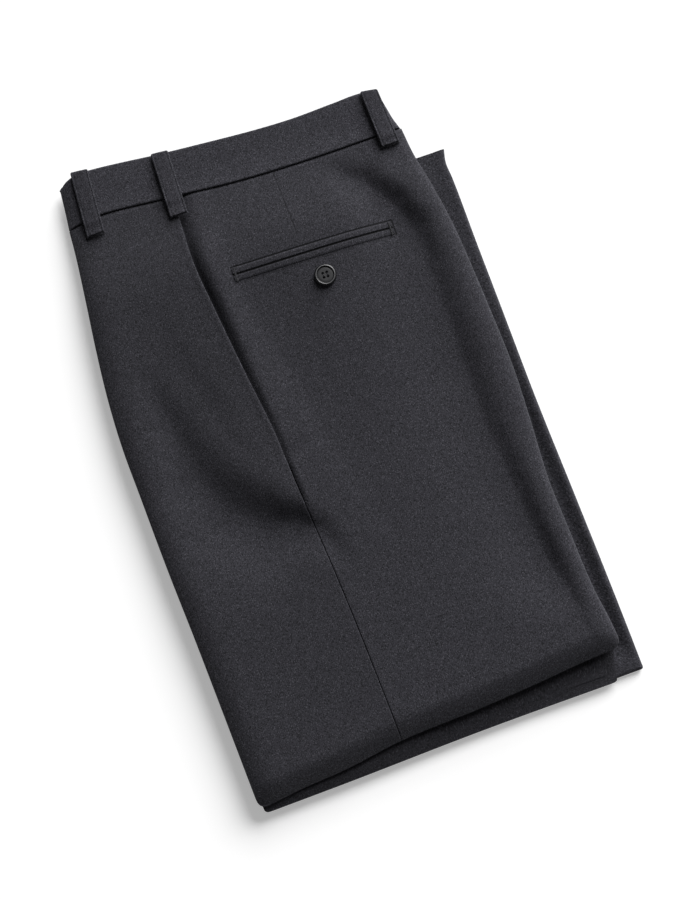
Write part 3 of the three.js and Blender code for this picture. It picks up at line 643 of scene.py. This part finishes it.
def laid_grid(surface):
    """Where a small piece's points lie on its own cloth, by the lengths along its rows."""
    u = np.cumsum(np.linalg.norm(np.diff(surface, axis=1, prepend=surface[:, :1]), axis=-1), 1)
    v = np.cumsum(np.linalg.norm(np.diff(surface, axis=0, prepend=surface[:1]), axis=-1), 0)
    return np.stack([u.mean(0)[None, :] + 0 * v, v.mean(1)[:, None] + 0 * u], -1)


def band_surface():
    """The near half's outer face, from its turned front end to its fold at the seat."""
    edge = [0, 0.15, 0.4, 0.8, 1.3, 2.0, 3.0]
    shares = np.array([*(d / BAND_WIDTH for d in edge), *np.linspace(0.12, 0.88, 20)])
    shares = np.array([*shares, *(1 - d / BAND_WIDTH for d in reversed(edge))])
    away = np.minimum(shares, 1 - shares) * BAND_WIDTH
    profile = list(fold_profile(BAND_FOLD_STEPS))
    stations = [(-1, BAND_TUCK, 0.0, 0.0)]
    for share, rise, upper in profile:
        stations.append((-1, share * (FRONT_ROLL if upper else BAND_TUCK), rise, 0.0))
    stations += [(0, 0.0, 1.0, i / BAND_STEPS) for i in range(1, BAND_STEPS)]
    stations += [(1, share * BACK_ROLL, rise, 1.0) for share, rise, _ in reversed(profile)]
    stations += [(1, BAND_TUCK, 0.0, 1.0)]
    rows = []
    for share, from_edge in zip(shares, away):
        y0 = mix(BAND_LOW, BAND_HIGH, share)
        row = []
        for end, inset, rise, along in stations:
            left = band_front_x(y0) + (inset if end < 0 else FRONT_ROLL)
            right = band_back_x(y0 - BACK_SLANT) - (inset if end > 0 else BACK_ROLL)
            x = mix(left, right, along)
            y = mix(waist_y(x) + SEAM_GAP / 2, band_top_y(x), share)
            low = NEAR_LEG_FLOOR * settle(x, y)
            high = STACK * settle(x, y) + BAND_PROUD - rounded(from_edge, BAND_ROUND)
            high = high - BAND_DROOP * nearness(x - band_front_x(y0), BAND_DROOP_REACH) ** 2
            row.append((x, y, mix(low, high, rise)))
        rows.append(row)
    return np.array(rows, float)


band = band_surface()
# Its lighter suiting is painted light.
waistband = skin("waistband_cloth", band, laid_grid(band), BAND_SKIN, band_cloth_lit)
sew_on(waistband, "waistband")


# ---- Far half of the waistband ----
# The band's other half, face down on the table beneath the stack. It is doubled and stiffened like
# the near half, and shows only at the waist end.
FAR_BAND_TOP = 3.2
FAR_BAND_LOW = 214
FAR_BAND_WIDTH = 45
FAR_BAND_SKIN = 2.2
FAR_BAND_IN = 4

rows = np.linspace(0, 1, 20)[:, None]
along = np.linspace(0, 1, 120)[None, :]
y0 = mix(FAR_BAND_LOW, BAND_HIGH, rows)
x = mix(band_front_x(y0) + FAR_BAND_IN, band_back_x(y0) - FAR_BAND_IN, along)
y = mix(FAR_BAND_LOW, band_top_y(x) - 3, rows)
away = np.minimum(np.minimum(rows, 1 - rows) * FAR_BAND_WIDTH, 3.0)
z = FAR_BAND_TOP - rounded(away, 1.0) + 0 * x
far_band = np.stack([x, y, z], -1)
far_laid = laid_grid(far_band)
far_half = skin("waistband_far_half_cloth", far_band, far_laid, FAR_BAND_SKIN, cloth)
sew_on(far_half, "waistband_far_half")


# ---- Belt loops ----
# Folded strips, sewn in at the band's top and turned under at the foot, just below the waist seam.
# Each stands off the band a little, and has a pressed line along both edges.
LOOP_SKIN = 2.4
LOOP_LIFT = 1.5
LOOP_FOOT = 1.85
LOOP_FOOT_SKIN = 1.0
LOOP_CORNER = 1.5
LOOP_ROUND = 0.9
LOOP_SLACK = 0.7
LOOP_HEAD = 1.4
LINE_DEPTH, LINE_IN, LINE_WIDTH = 0.42, 1.7, 0.5
loops = {
    "belt_loop_front": {
        "top": (-130.4, 268.4), "foot": (-133.6, 214.6), "widths": (14.4, 14.8),
        "lean": 0.13, "top_slope": -0.13,
    },
    "belt_loop_side": {
        "top": (-63.8, 261.8), "foot": (-64.8, 207.8), "widths": (14.2, 14.6),
        "lean": 0.02, "top_slope": -0.09,
    },
    "belt_loop_back": {
        "top": (114.1, 255.0), "foot": (116.3, 207.0), "widths": (14.0, 15.0),
        "lean": 0.0, "top_slope": -0.16,
    },
}


def loop_surface(loop):
    """The loop's outer face from its turned-under foot to where it goes over the band's top."""
    across = np.array([-0.5, -0.495, -0.48, -0.455, -0.42, -0.39, -0.36, -0.3, -0.2, -0.1, 0.0])
    across = np.concatenate([across, -across[-2::-1]])
    (top_x, top_y), (foot_x, foot_y) = loop["top"], loop["foot"]
    top_width, foot_width = loop["widths"]
    length = math.hypot(top_x - foot_x, top_y - foot_y)
    under, over = np.linspace(0.3, math.pi, 12), np.linspace(0, 1.7, 7)
    rows = [(0.6 - 1.1 * math.sin(a), -LOOP_FOOT * (1 + math.cos(a))) for a in under]
    rows += [(d, 0.0) for d in [0.8, 1.1, *np.linspace(1.5, 51.5, 60)] if d < length - 1.2]
    for a in over:
        rows.append((length - 0.8 + LOOP_HEAD * math.sin(a), -LOOP_HEAD + LOOP_HEAD * math.cos(a)))
    surface, thickness = [], []
    for distance, lift in rows:
        t = distance / length
        from_end = min(distance + 0.5, length + 0.6 - distance)
        width = mix(foot_width, top_width, t) - 2 * float(rounded(from_end, LOOP_CORNER))
        from_edge = (0.5 - np.abs(across)) * width
        pressed = LINE_DEPTH * np.exp(-(((from_edge - LINE_IN) / LINE_WIDTH) ** 2))
        drop = rounded(from_edge, LOOP_ROUND) + pressed
        x = mix(foot_x, top_x, t) + across * width
        y = mix(foot_y, top_y + loop["top_slope"] * (x - top_x), t)
        held_t = np.clip(t, 0, 1)
        y_on = np.minimum(y, band_top_y(x) - 1.0)
        on_band = BAND_PROUD * ease(y, waist_y(x) - 9, waist_y(x) - 3)
        slack = LOOP_SLACK * math.sin(math.pi * held_t) + LOOP_LIFT * (1 - 0.5 * held_t)
        base = STACK * settle(x, y_on) + on_band + slack + SEAM_GAP + LOOP_SKIN
        surface.append(np.stack([x, y, base + lift - drop + loop["lean"] * across * width], -1))
        thickness.append(mix(LOOP_FOOT_SKIN, LOOP_SKIN, ease(distance, 1.2, 5)))
    return np.stack(surface), np.array(thickness)[:, None, None]


for name, loop in loops.items():
    surface, thickness = loop_surface(loop)
    strip = skin(name + "_cloth", surface, laid_grid(surface), thickness, cloth)
    sew_on(strip, name)


# ---- Back pocket welts ----
# Two narrow folded strips, edge to edge, that close the slit of the pocket, with an end bar of
# close stitches at each end.
WELT_LENGTH = 134.0
WELT_PROUD = 0.75
WELT_ROUND = 0.6
WELT_DIP = 0.4
WELT_SKIN = 0.7
welt_left, welt_right = (-39.0, 145.6), (95.0, 141.4)
welts = {"pocket_welt_upper": (0.75, 5.8), "pocket_welt_lower": (-5.8, -0.75)}


def joined(objects):
    """Several finished pieces as one."""
    whole = bmesh.new()
    for obj in objects:
        whole.from_mesh(obj.data)
    whole.to_mesh(objects[0].data)
    whole.free()
    for obj in objects[1:]:
        bpy.data.objects.remove(obj)
    return objects[0]


welt_cloth = suiting("suiting_welt", 0.88)
strips = []
for name, (low, high) in welts.items():
    edge = np.array([0, 0.1, 0.3, 0.6, 1.0, 1.6])
    middle = np.linspace(low + 2.2, high - 2.2, 4)
    offsets = np.concatenate([low + edge, middle, (high - edge)[::-1]])
    from_edge = np.minimum(offsets - low, high - offsets)[:, None]
    t = np.linspace(0, 1, 110)[None, :]
    x = mix(welt_left[0], welt_left[0] + WELT_LENGTH, t) + 0 * from_edge
    y = mix(welt_left[1], welt_right[1], t) + offsets[:, None]
    from_seam = high - offsets[:, None] if low > 0 else offsets[:, None] - low
    z = top_height(x, y) + WELT_PROUD - rounded(from_edge, WELT_ROUND)
    z = z - WELT_DIP * np.exp(-(from_seam**2))
    surface = np.stack([x, y, z], -1)
    strips.append(skin(name + "_cloth", surface, laid_grid(surface), WELT_SKIN, welt_cloth))
double_welt = joined(strips)
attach(double_welt, "root")
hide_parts(*welts)

THREAD_DARK = (0.012, 0.012, 0.014, 1)
THREAD_PALE = (0.034, 0.034, 0.040, 1)
THREAD_RADIUS = 0.15
THREAD_BOW = 0.22


def plain_material(name):
    """A new material, its surface shader and a start for its nodes."""
    material = bpy.data.materials.new(name)
    material.use_nodes = True
    surface = material.node_tree.nodes["Principled BSDF"]
    return material, surface, Shade(material.node_tree)


def thread_material():
    """Black sewing thread, its twist a fine change of tone."""
    material, surface, start = plain_material("sewing_thread")
    place = start.node("ShaderNodeTexCoord", None, None, 3)
    twist = start.noise(place, 2600.0, 1.0)
    colour = blend(twist, THREAD_DARK, THREAD_PALE)
    start.fill(surface, {"Base Color": colour, "Roughness": 0.6})
    return material


def stitch_tree(material):
    """Each edge of a mesh becomes one stitch: a thread bowed up between its two needle holes."""
    tree = bpy.data.node_groups.new("stitches", "GeometryNodeTree")
    face = tree.interface
    face.new_socket("Geometry", in_out="INPUT", socket_type="NodeSocketGeometry")
    inputs = {}
    for name in ("Thread radius", "Bow"):
        socket = face.new_socket(name, in_out="INPUT", socket_type="NodeSocketFloat")
        inputs[name] = socket.identifier
    face.new_socket("Geometry", in_out="OUTPUT", socket_type="NodeSocketGeometry")
    given = tree.nodes.new("NodeGroupInput")
    named = ("Geometry", "Thread radius", "Bow")
    holes, radius, bow = (Shade(tree, given.outputs[name]) for name in named)
    run = holes.node("GeometryNodeMeshToCurve", None, {"Mesh": holes})
    run = holes.node("GeometryNodeResampleCurve", None, {"Curve": run, "Count": 6})
    along = holes.node("GeometryNodeSplineParameter")
    arch = 1 - (2 * along - 1) * (2 * along - 1)
    lift = holes.node("ShaderNodeCombineXYZ", None, {"Z": arch * bow})
    run = holes.node("GeometryNodeSetPosition", None, {"Geometry": run, "Offset": lift})
    ring = holes.node("GeometryNodeCurvePrimitiveCircle", None, {"Resolution": 6, "Radius": radius})
    taper = 0.55 + 0.45 * arch
    sockets = {"Curve": run, "Profile Curve": ring, "Scale": taper, "Fill Caps": True}
    thread = holes.node("GeometryNodeCurveToMesh", None, sockets)
    thread = holes.node("GeometryNodeRealizeInstances", None, {"Geometry": thread})
    thread = holes.node("GeometryNodeSetMaterial", None, {"Geometry": thread, "Material": material})
    result = tree.nodes.new("NodeGroupOutput")
    tree.links.new(thread.socket, result.inputs[0])
    return tree, inputs


stitches, stitch_inputs = stitch_tree(thread_material())


def apply_modifiers(obj):
    """Keeps what an object's modifiers make of it as its plain mesh."""
    graph = bpy.context.evaluated_depsgraph_get()
    mesh = bpy.data.meshes.new_from_object(obj.evaluated_get(graph))
    obj.modifiers.clear()
    obj.data = mesh
    return mesh


def sewn(name, starts, ends, radius=THREAD_RADIUS, bow=THREAD_BOW):
    """One piece of thread work from the needle holes of its stitches, in millimetres."""
    holes = np.stack([starts, ends], 1).reshape(-1, 3) * MM
    mesh = bpy.data.meshes.new(name)
    mesh.from_pydata(holes.tolist(), [(i, i + 1) for i in range(0, len(holes), 2)], [])
    obj = placed(name, mesh)
    modifier = obj.modifiers.new("stitches", "NODES")
    modifier.node_group = stitches
    modifier[stitch_inputs["Thread radius"]] = radius * MM
    modifier[stitch_inputs["Bow"]] = bow * MM
    thread = apply_modifiers(obj)
    thread.polygons.foreach_set("use_smooth", [True] * len(thread.polygons))
    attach(obj, "root")
    return obj


BAR_STITCHES = 24
BAR_WIDTH = 1.9
BAR_REACH = 5.6
# Each bar's distance along the welts, and its height: the front one is drawn deeper into the cloth.
end_bars = {"pocket_end_bar_front": (0.6, 0.60), "pocket_end_bar_back": (WELT_LENGTH - 2.6, 0.85)}
for name, (place, height) in end_bars.items():
    offsets = np.linspace(-BAR_REACH, BAR_REACH, BAR_STITCHES)
    needle = []
    for x in (place, place + BAR_WIDTH):
        t = x / WELT_LENGTH
        px = welt_left[0] + x + 0 * offsets
        py = mix(welt_left[1], welt_right[1], t) + offsets
        needle.append(np.stack([px, py, top_height(px, py) + height], -1))
    sewn(name, *needle)


# ---- Pocket button ----
# A dark four-hole button of moulded plastic with a raised rim and a dished middle, sewn on with
# black thread and pushed through a hole in the cloth below the welts, which it hides.
BUTTON_RADIUS = 9.1
BUTTON_HEIGHT = 2.8
BUTTON_SHANK = 0.8
BUTTON_HOLE = 2.3
HOLE_PITCH = 3.4
BUTTON_AT = (30.85, 121.1)
BUTTON_CORNER = 35
BUTTON_DARK_AND_SHADE = (0.005, 0.005, 0.006, 1)
BUTTON_DISH = (0.030, 0.030, 0.032, 1)
BUTTON_PAINTED_HIGHLIGHT = (0.15, 0.15, 0.155, 1)
STRAND_RADIUS, STRAND_BOW, STRAND_PITCH = 0.10, 0.72, 0.3


def button_plastic():
    """Dark plastic, near black outside the dish, partly its own colour and partly painted shade on
    the groove and outer flank; a lighter grey and duller in the dish; with a painted highlight as a
    pale ring along the top of the rim.
    """
    material, surface, start = plain_material("button_plastic")
    place = start.node("ShaderNodeTexCoord", None, None, 3)
    cloud = start.noise(place, 420.0, 3.0)
    middle = (BUTTON_AT[0] * MM, BUTTON_AT[1] * MM, 0)
    flat = start.node("ShaderNodeVectorMath", {"operation": "MULTIPLY"}, {0: place, 1: (1, 1, 0)})
    ends = {0: flat, 1: middle}
    from_middle = start.node("ShaderNodeVectorMath", {"operation": "DISTANCE"}, ends, 1)
    from_middle = from_middle / (BUTTON_RADIUS * MM)
    dished = 1 - from_middle.between(0.67, 0.74)
    # Painted highlight: a pale ring along the top of the rim, varied a little by noise.
    highlight_ring = from_middle.between(0.785, 0.81) * (1 - from_middle.between(0.85, 0.875))
    colour = blend(dished, BUTTON_DARK_AND_SHADE, BUTTON_DISH)
    colour = blend(highlight_ring * (0.75 + 0.25 * cloud), colour, BUTTON_PAINTED_HIGHLIGHT)
    roughness = 0.34 + 0.12 * cloud + 0.12 * dished
    start.fill(surface, {"Base Color": colour, "Roughness": roughness})
    return material


def round_faces(levels, count):
    """Side faces between closed rings of the same number of points."""
    faces = []
    for k in range(levels - 1):
        for i in range(count):
            j = (i + 1) % count
            faces.append((k * count + i, k * count + j, (k + 1) * count + j, (k + 1) * count + i))
    return faces


def turned(profile, centre, base, steps=72):
    """Points and faces of a turned shape from rows of (radius, height), closed flat at its ends."""
    points = []
    for radius, height in profile:
        for i in range(steps):
            a = 2 * math.pi * i / steps
            x, y = centre[0] + radius * math.cos(a), centre[1] + radius * math.sin(a)
            points.append((x, y, base + height))
    faces = round_faces(len(profile), steps)
    faces.append(tuple(reversed(range(steps))))
    faces.append(tuple(range((len(profile) - 1) * steps, len(profile) * steps)))
    return points, faces


def cut(obj, cutter):
    """Cuts one object out of another and keeps the result as its plain mesh."""
    modifier = obj.modifiers.new("cut", "BOOLEAN")
    modifier.object = cutter
    modifier.operation = "DIFFERENCE"
    modifier.solver = "EXACT"
    apply_modifiers(obj).set_sharp_from_angle(angle=math.radians(BUTTON_CORNER))
    bpy.data.objects.remove(cutter)


# From the underside round the rim to the middle of the dish, as shares of radius and height.
button_rows = [
    (0.80, 0), (0.93, 0.05), (0.985, 0.14), (1, 0.26), (0.99, 0.42), (0.96, 0.60), (0.915, 0.78),
    (0.875, 0.92), (0.845, 0.985), (0.825, 1), (0.805, 0.965), (0.79, 0.86), (0.772, 0.68),
    (0.752, 0.54), (0.722, 0.50), (0.685, 0.54), (0.64, 0.60), (0.45, 0.61), (0.2, 0.60),
]
button_profile = [(BUTTON_RADIUS * out, BUTTON_HEIGHT * up) for out, up in button_rows]
button_base = float(top_height(*BUTTON_AT)) + BUTTON_SHANK
points, faces = turned(button_profile, BUTTON_AT, button_base)
plastic = button_plastic()
laid = [p[:2] for p in points]
button = piece_from("pocket_button_turned", points, faces, laid, plastic, BUTTON_CORNER)
hole_points, hole_faces = [], []
for i in (-1, 1):
    for j in (-1, 1):
        centre = (BUTTON_AT[0] + i * HOLE_PITCH / 2, BUTTON_AT[1] + j * HOLE_PITCH / 2)
        wall = [(BUTTON_HOLE / 2, -2), (BUTTON_HOLE / 2, 5)]
        points, faces = turned(wall, centre, button_base, 20)
        hole_faces += [tuple(f + len(hole_points) for f in face) for face in faces]
        hole_points += points
laid = [p[:2] for p in hole_points]
cut(button, piece_from("holes", hole_points, hole_faces, laid, plastic))
sew_on(button, "pocket_button")
starts, ends = [], []
for side in (-1, 1):
    for strand in (-STRAND_PITCH, 0.0, STRAND_PITCH):
        x = BUTTON_AT[0] + side * HOLE_PITCH / 2 + strand
        z = button_base + BUTTON_HEIGHT * 0.40
        starts.append((x, BUTTON_AT[1] - HOLE_PITCH / 2, z))
        ends.append((x, BUTTON_AT[1] + HOLE_PITCH / 2, z))
sewn("button_thread", np.array(starts), np.array(ends), STRAND_RADIUS, STRAND_BOW)


# ---- Turned-under legs ----
# Both legs below the turn, lying under the stack as one flattened tube that tapers to the hem. A
# strip of it shows beside the near leg, and a narrower one below the turn.
LOWER_TOP = 6.4
HEM_Y = 192.0
LOWER_FLAT = 14.0
STRIP_DEPTH = 44.0
LOWER_DROOP = 1.0
STRIP_SINK, HEM_SINK = 3.5, 0.8
STRIP_EDGE = (2.5, 13)
LOWER_ROLL_UNDER, LOWER_ROLL_OVER = 2.6, 3.4
LOWER_SKIN = 1.0
lower_right = through([
    (192, 157.8), (181, 155.6), (168, 156.4), (109, 157.4), (56, 158.6), (-28, 160.4),
    (-111, 163.8), (-194, 167.0), (-262, 169.1),
])
lower_left = through([(192, -36), (60, -72), (-120, -118), (-230, -146), (-262, -151)])
lower_legs = {
    "left": lower_left,
    "right": lower_right,
    "turn": lambda x: mix(-264, -261, ease(x, 60, 170)) + 1.4,
    "middle": (0.0, 0.0),
    "corner": 2.5,
    "top": lambda side: HEM_Y + 3 if side < 0 else HEM_Y,
    "side_steps": 200,
    "turn_steps": 70,
}


def strip_sink(x, y):
    """How far the strip beside the near leg sinks toward it; least at the hem."""
    deep = mix(HEM_SINK, STRIP_SINK, ease(-y, -90, 60)) * (1 - past_turn(x, y))
    return deep * ease(lower_right(y) - x, *STRIP_EDGE) * ease(x, 60, 100)


def past_turn(x, y):
    """0 beneath the near leg, 1 well past its turned edge."""
    return ease(turn_y(x) + 6 - y, 0, 26)


def whole_edge(layer, left, right, turn):
    """Both halves of a layer's edge as one run, left top end first."""
    near_x, near_y = half_edge(layer, -1, left, turn)
    far_x, far_y = half_edge(layer, 1, right, turn)
    return np.concatenate([near_x, far_x[::-1][1:]]), np.concatenate([near_y, far_y[::-1][1:]])


runs = [(LOWER_FLAT, STRIP_DEPTH, LOWER_FLAT, 0.0)]
for share, rise, upper in fold_profile(FOLD_STEPS):
    inset = share * (LOWER_ROLL_OVER if upper else LOWER_ROLL_UNDER)
    runs.append((inset, inset, inset, rise))
for part in np.linspace(0, 1, 16)[1:]:
    inset = mix(LOWER_ROLL_OVER, LOWER_FLAT, part)
    runs.append((inset, mix(LOWER_ROLL_OVER, STRIP_DEPTH, part), inset, 1.0))
columns = []
for left, right, turn, rise in runs:
    x, y = whole_edge(lower_legs, left, right, turn)
    height = (LOWER_TOP * settle(x, y) - LOWER_DROOP * past_turn(x, y)) * rise
    columns.append(np.stack([x, y, height - strip_sink(x, y) * (rise == 1)], -1))
lower_surface = np.stack(columns, 1)
lower = skin("lower_legs_cloth", lower_surface, laid_grid(lower_surface), LOWER_SKIN, cloth)
sew_on(lower, "lower_legs")


# ---- Hem turn-up ----
# The leg's end, folded up inside the tube and blind stitched, so that its raw edge lies hidden.
# It shows only from the waist end.
HEM_TURN_UP = 40.0
HEM_BELOW = 1.6

y = np.linspace(HEM_Y - 0.6, HEM_Y - HEM_TURN_UP, 30)[:, None]
x = lower_right(y) - np.linspace(STRIP_DEPTH, 5.0, 40)[None, :]
z = LOWER_TOP * settle(x, y + 0 * x) - strip_sink(x, y + 0 * x) - HEM_BELOW - SEAM_GAP
hem = np.stack([x, y + 0 * x, z], -1)
# Its darker suiting is painted shade.
hem_turn_up = skin("hem_turn_up_cloth", hem, laid_grid(hem), LOWER_SKIN, shaded_inside_cloth)
sew_on(hem_turn_up, "hem_turn_up")


# ---- Folded layers ----
# The other leg, the inner halves, the fly and the pocket bags: all that lies inside the stack, as
# one body that shows its plies as rounded edges at the sides and the turn.
OTHER_LEG_FLOOR = 6.9
OTHER_DROOP = 1.6
TURN_GAP_LEFT, TURN_GAP_RIGHT = 0.8, 4.2
OVER_FAR_BAND = 3.6
LAYER_SHOULDER, LAYER_LEAD = 174.0, 30
UNDER_IN, UNDER_STRIP_IN = 15, 45
PLY_DEEP, PLY_SHALLOW = 6.5, 4.0
TURN_ROUND = 7.0
PLY_STEPS = 25
TOP_BELOW_WAIST, TOP_BELOW = 6, 10
other_turn = through([(-158, -269.6), (-84, -267.8), (31, -264.0), (150, -262.4)])
other_leg = {
    "left": lambda y: front_x(y) + 2.4,
    "right": lambda y: (
        back_x(y) - mix(2.2, 13.0, ease(-y, 222, 262)) - 2.4 * ease(y, 214, 240)
    ),
    "turn": other_turn,
    "middle": (0.0, 0.0),
    "corner": 2.2,
    "top": lambda side: 252.0 if side < 0 else 246.0,
    "shoulder": LAYER_SHOULDER,
    "lead": LAYER_LEAD,
    "side_steps": 200,
    "turn_steps": 70,
}
in_lower_legs = {
    **lower_legs,
    "top": lambda side: HEM_Y - 12,
    "shoulder": LAYER_SHOULDER,
    "lead": LAYER_LEAD,
}
in_near_leg = {**other_leg, "left": front_x, "right": back_x, "turn": turn_y}


def past_near_leg(x, y, share):
    """Height lost by the other leg's plies where they run out beneath the near leg's turn."""
    gap = mix(TURN_GAP_LEFT, TURN_GAP_RIGHT, ease(x, -150, 130)) * ease(turn_y(x) + 12 - y, 0, 12)
    return LOWER_DROOP * past_turn(x, y) + share * (gap + OTHER_DROOP * past_turn(x, y))


def other_underside(x, y):
    """Where the other leg lies on the turned-under ones, on the far band, or on the table."""
    on_legs = ease(x - lower_left(y), -14, -5) * (1 - ease(y, HEM_Y + 5, HEM_Y + 14))
    past_band = OVER_FAR_BAND * ease(y, HEM_Y - 30, HEM_Y)
    return np.maximum(OTHER_LEG_FLOOR * settle(x, y) * on_legs, past_band)


def round_lower(gap):
    """The other leg's edge, drawn in to lie a gap away from the turned-under legs."""
    return {
        **other_leg,
        "left": lambda y: np.maximum(lower_left(y) - gap, other_leg["left"](y) + 8),
        "right": lambda y: other_leg["right"](y) - 8,
        "turn": lambda x: other_turn(x) + 8,
        "top": lambda side: HEM_Y + gap,
    }


def ring(layer, side, turn, height, strip_side=None):
    """One closed ring of the body: its insets at the sides and the turn, and its height."""
    x, y = whole_edge(layer, side, side if strip_side is None else strip_side, turn)
    return np.stack([x, y, height(x, y)], -1)


def on_lower(x, y):
    """The top of the turned-under legs."""
    return OTHER_LEG_FLOOR * settle(x, y)


def below_near_leg(x, y):
    """The underside of the near leg."""
    return (NEAR_LEG_FLOOR - SEAM_GAP) * settle(x, y)


rings = [
    ring(in_lower_legs, UNDER_IN, UNDER_IN, lambda x, y: 0 * x, UNDER_STRIP_IN),
    ring(in_lower_legs, UNDER_IN, UNDER_IN, on_lower, UNDER_STRIP_IN),
    ring(round_lower(5), 0, 0, on_lower),
    ring(round_lower(14), 0, 0, other_underside),
]
for share in (1 - np.cos(np.linspace(0, math.pi, PLY_STEPS))) / 2:
    ply = abs(2 * share - 1) if share in (0, 1) else (2 * share) % 1
    half_round = 1 - math.sqrt(max(0.0, 1 - (2 * ply - 1) ** 2))
    deep = PLY_DEEP if share < 0.25 or share > 0.75 else PLY_SHALLOW
    side_in = 0.5 + deep * half_round
    turn_in = TURN_ROUND * (1 - math.sin(math.pi * share))
    rings.append(ring(other_leg, side_in, turn_in, lambda x, y, s=share: (
        mix(other_underside(x, y), below_near_leg(x, y), s) - past_near_leg(x, y, s)
    )))
outer = ring(other_leg, TURN_ROUND, TURN_ROUND, below_near_leg)
inside = CREASE_TUCK + SEAM_GAP
inner = ring(in_near_leg, inside, inside, below_near_leg)
for part in np.linspace(0, 1, 10)[1:]:
    between = mix(outer, inner, part)
    between[:, 2] -= past_near_leg(between[:, 0], between[:, 1], 1.0)
    rings.append(between)
inside = inside + 1
rings.append(ring(in_near_leg, inside, inside, lambda x, y: (
    STACK * settle(x, y) - mix(TOP_BELOW_WAIST, TOP_BELOW, ease(settle(x, y), 0.62, 0.85))
)))
stack = np.stack(rings)
levels, count = stack.shape[:2]
faces = round_faces(levels, count)
for first, flip in ((0, True), ((levels - 1) * count, False)):
    for i in range((count - 1) // 2):
        quad = [first + i, first + i + 1, first + count - 2 - i, first + count - 1 - i]
        if quad[1] == quad[2]:
            quad = [quad[0], quad[1], quad[3]]
        faces.append(tuple(reversed(quad)) if flip else tuple(quad))
points, laid = stack.reshape(-1, 3), laid_grid(stack).reshape(-1, 2)
# Its darker suiting is painted shade, for the shadow under the near leg.
layers = piece_from("hidden_layers_cloth", points, faces, laid, shaded_inside_cloth)
sew_on(layers, "hidden_layers")


# ---- Table, light and camera ----
# A white table top under one large soft light from the upper right and an even white room. The
# camera looks almost straight down, turned so that the waistband runs up to the right.
TABLE_HALF = 12.0
ROOM_LIGHT = 0.11
LIGHT_ELEVATION = math.radians(24)
LIGHT_FROM = (0.68, 0.733)
LIGHT_SPREAD = math.radians(50)
LIGHT_STRENGTH = 6.5
CAMERA_AZIMUTH = math.radians(-19)
CAMERA_ELEVATION = math.radians(84)
CAMERA_AWAY = 1.8
LOOK_AT = Vector((-0.0059, -0.0155, 0.020))


def glowing_table_white():
    """Matt white that also glows a little: painted light, which lifts the shadows on the table."""
    material, surface, start = plain_material("glowing_table_white")
    # Emission as painted light: the table glows a little, lifting its shadows.
    start.fill(surface, {
        "Base Color": (0.80, 0.80, 0.80, 1), "Roughness": 0.75, "Specular IOR Level": 0.2,
        "Emission Color": (1, 1, 1, 1), "Emission Strength": 0.33,
    })
    return material


mesh = bpy.data.meshes.new("table_top")
corners = [(-1, -1), (1, -1), (1, 1), (-1, 1)]
mesh.from_pydata([(x * TABLE_HALF, y * TABLE_HALF, 0) for x, y in corners], [], [(0, 1, 2, 3)])
mesh.materials.append(glowing_table_white())
table = placed("table_top", mesh)

scene = bpy.context.scene
world = bpy.data.worlds.new("room")
world.use_nodes = True
room = world.node_tree.nodes["Background"]
room.inputs["Color"].default_value = (1, 1, 1, 1)
room.inputs["Strength"].default_value = ROOM_LIGHT
scene.world = world
scene.view_settings.view_transform = "Standard"

level = math.cos(LIGHT_ELEVATION)
toward_light = Vector((LIGHT_FROM[0] * level, LIGHT_FROM[1] * level, math.sin(LIGHT_ELEVATION)))
lamp = bpy.data.lights.new("soft_key", "SUN")
lamp.angle = LIGHT_SPREAD
lamp.energy = LIGHT_STRENGTH
key = placed("soft_key", lamp)
key.rotation_mode = "QUATERNION"
key.rotation_quaternion = toward_light.to_track_quat("Z", "Y")

az, el = CAMERA_AZIMUTH, CAMERA_ELEVATION
back = Vector((math.sin(az) * math.cos(el), -math.cos(az) * math.cos(el), math.sin(el)))
right = Vector((math.cos(az), math.sin(az), 0))
up = back.cross(right)
lens = bpy.data.cameras.new("camera")
lens.lens = 90
lens.sensor_width = 36
camera = placed("camera", lens)
place = LOOK_AT + back * CAMERA_AWAY
turned_rows = [[*row, offset] for row, offset in zip(zip(right, up, back), place)]
camera.matrix_world = Matrix([*turned_rows, [0, 0, 0, 1]])
scene.camera = camera
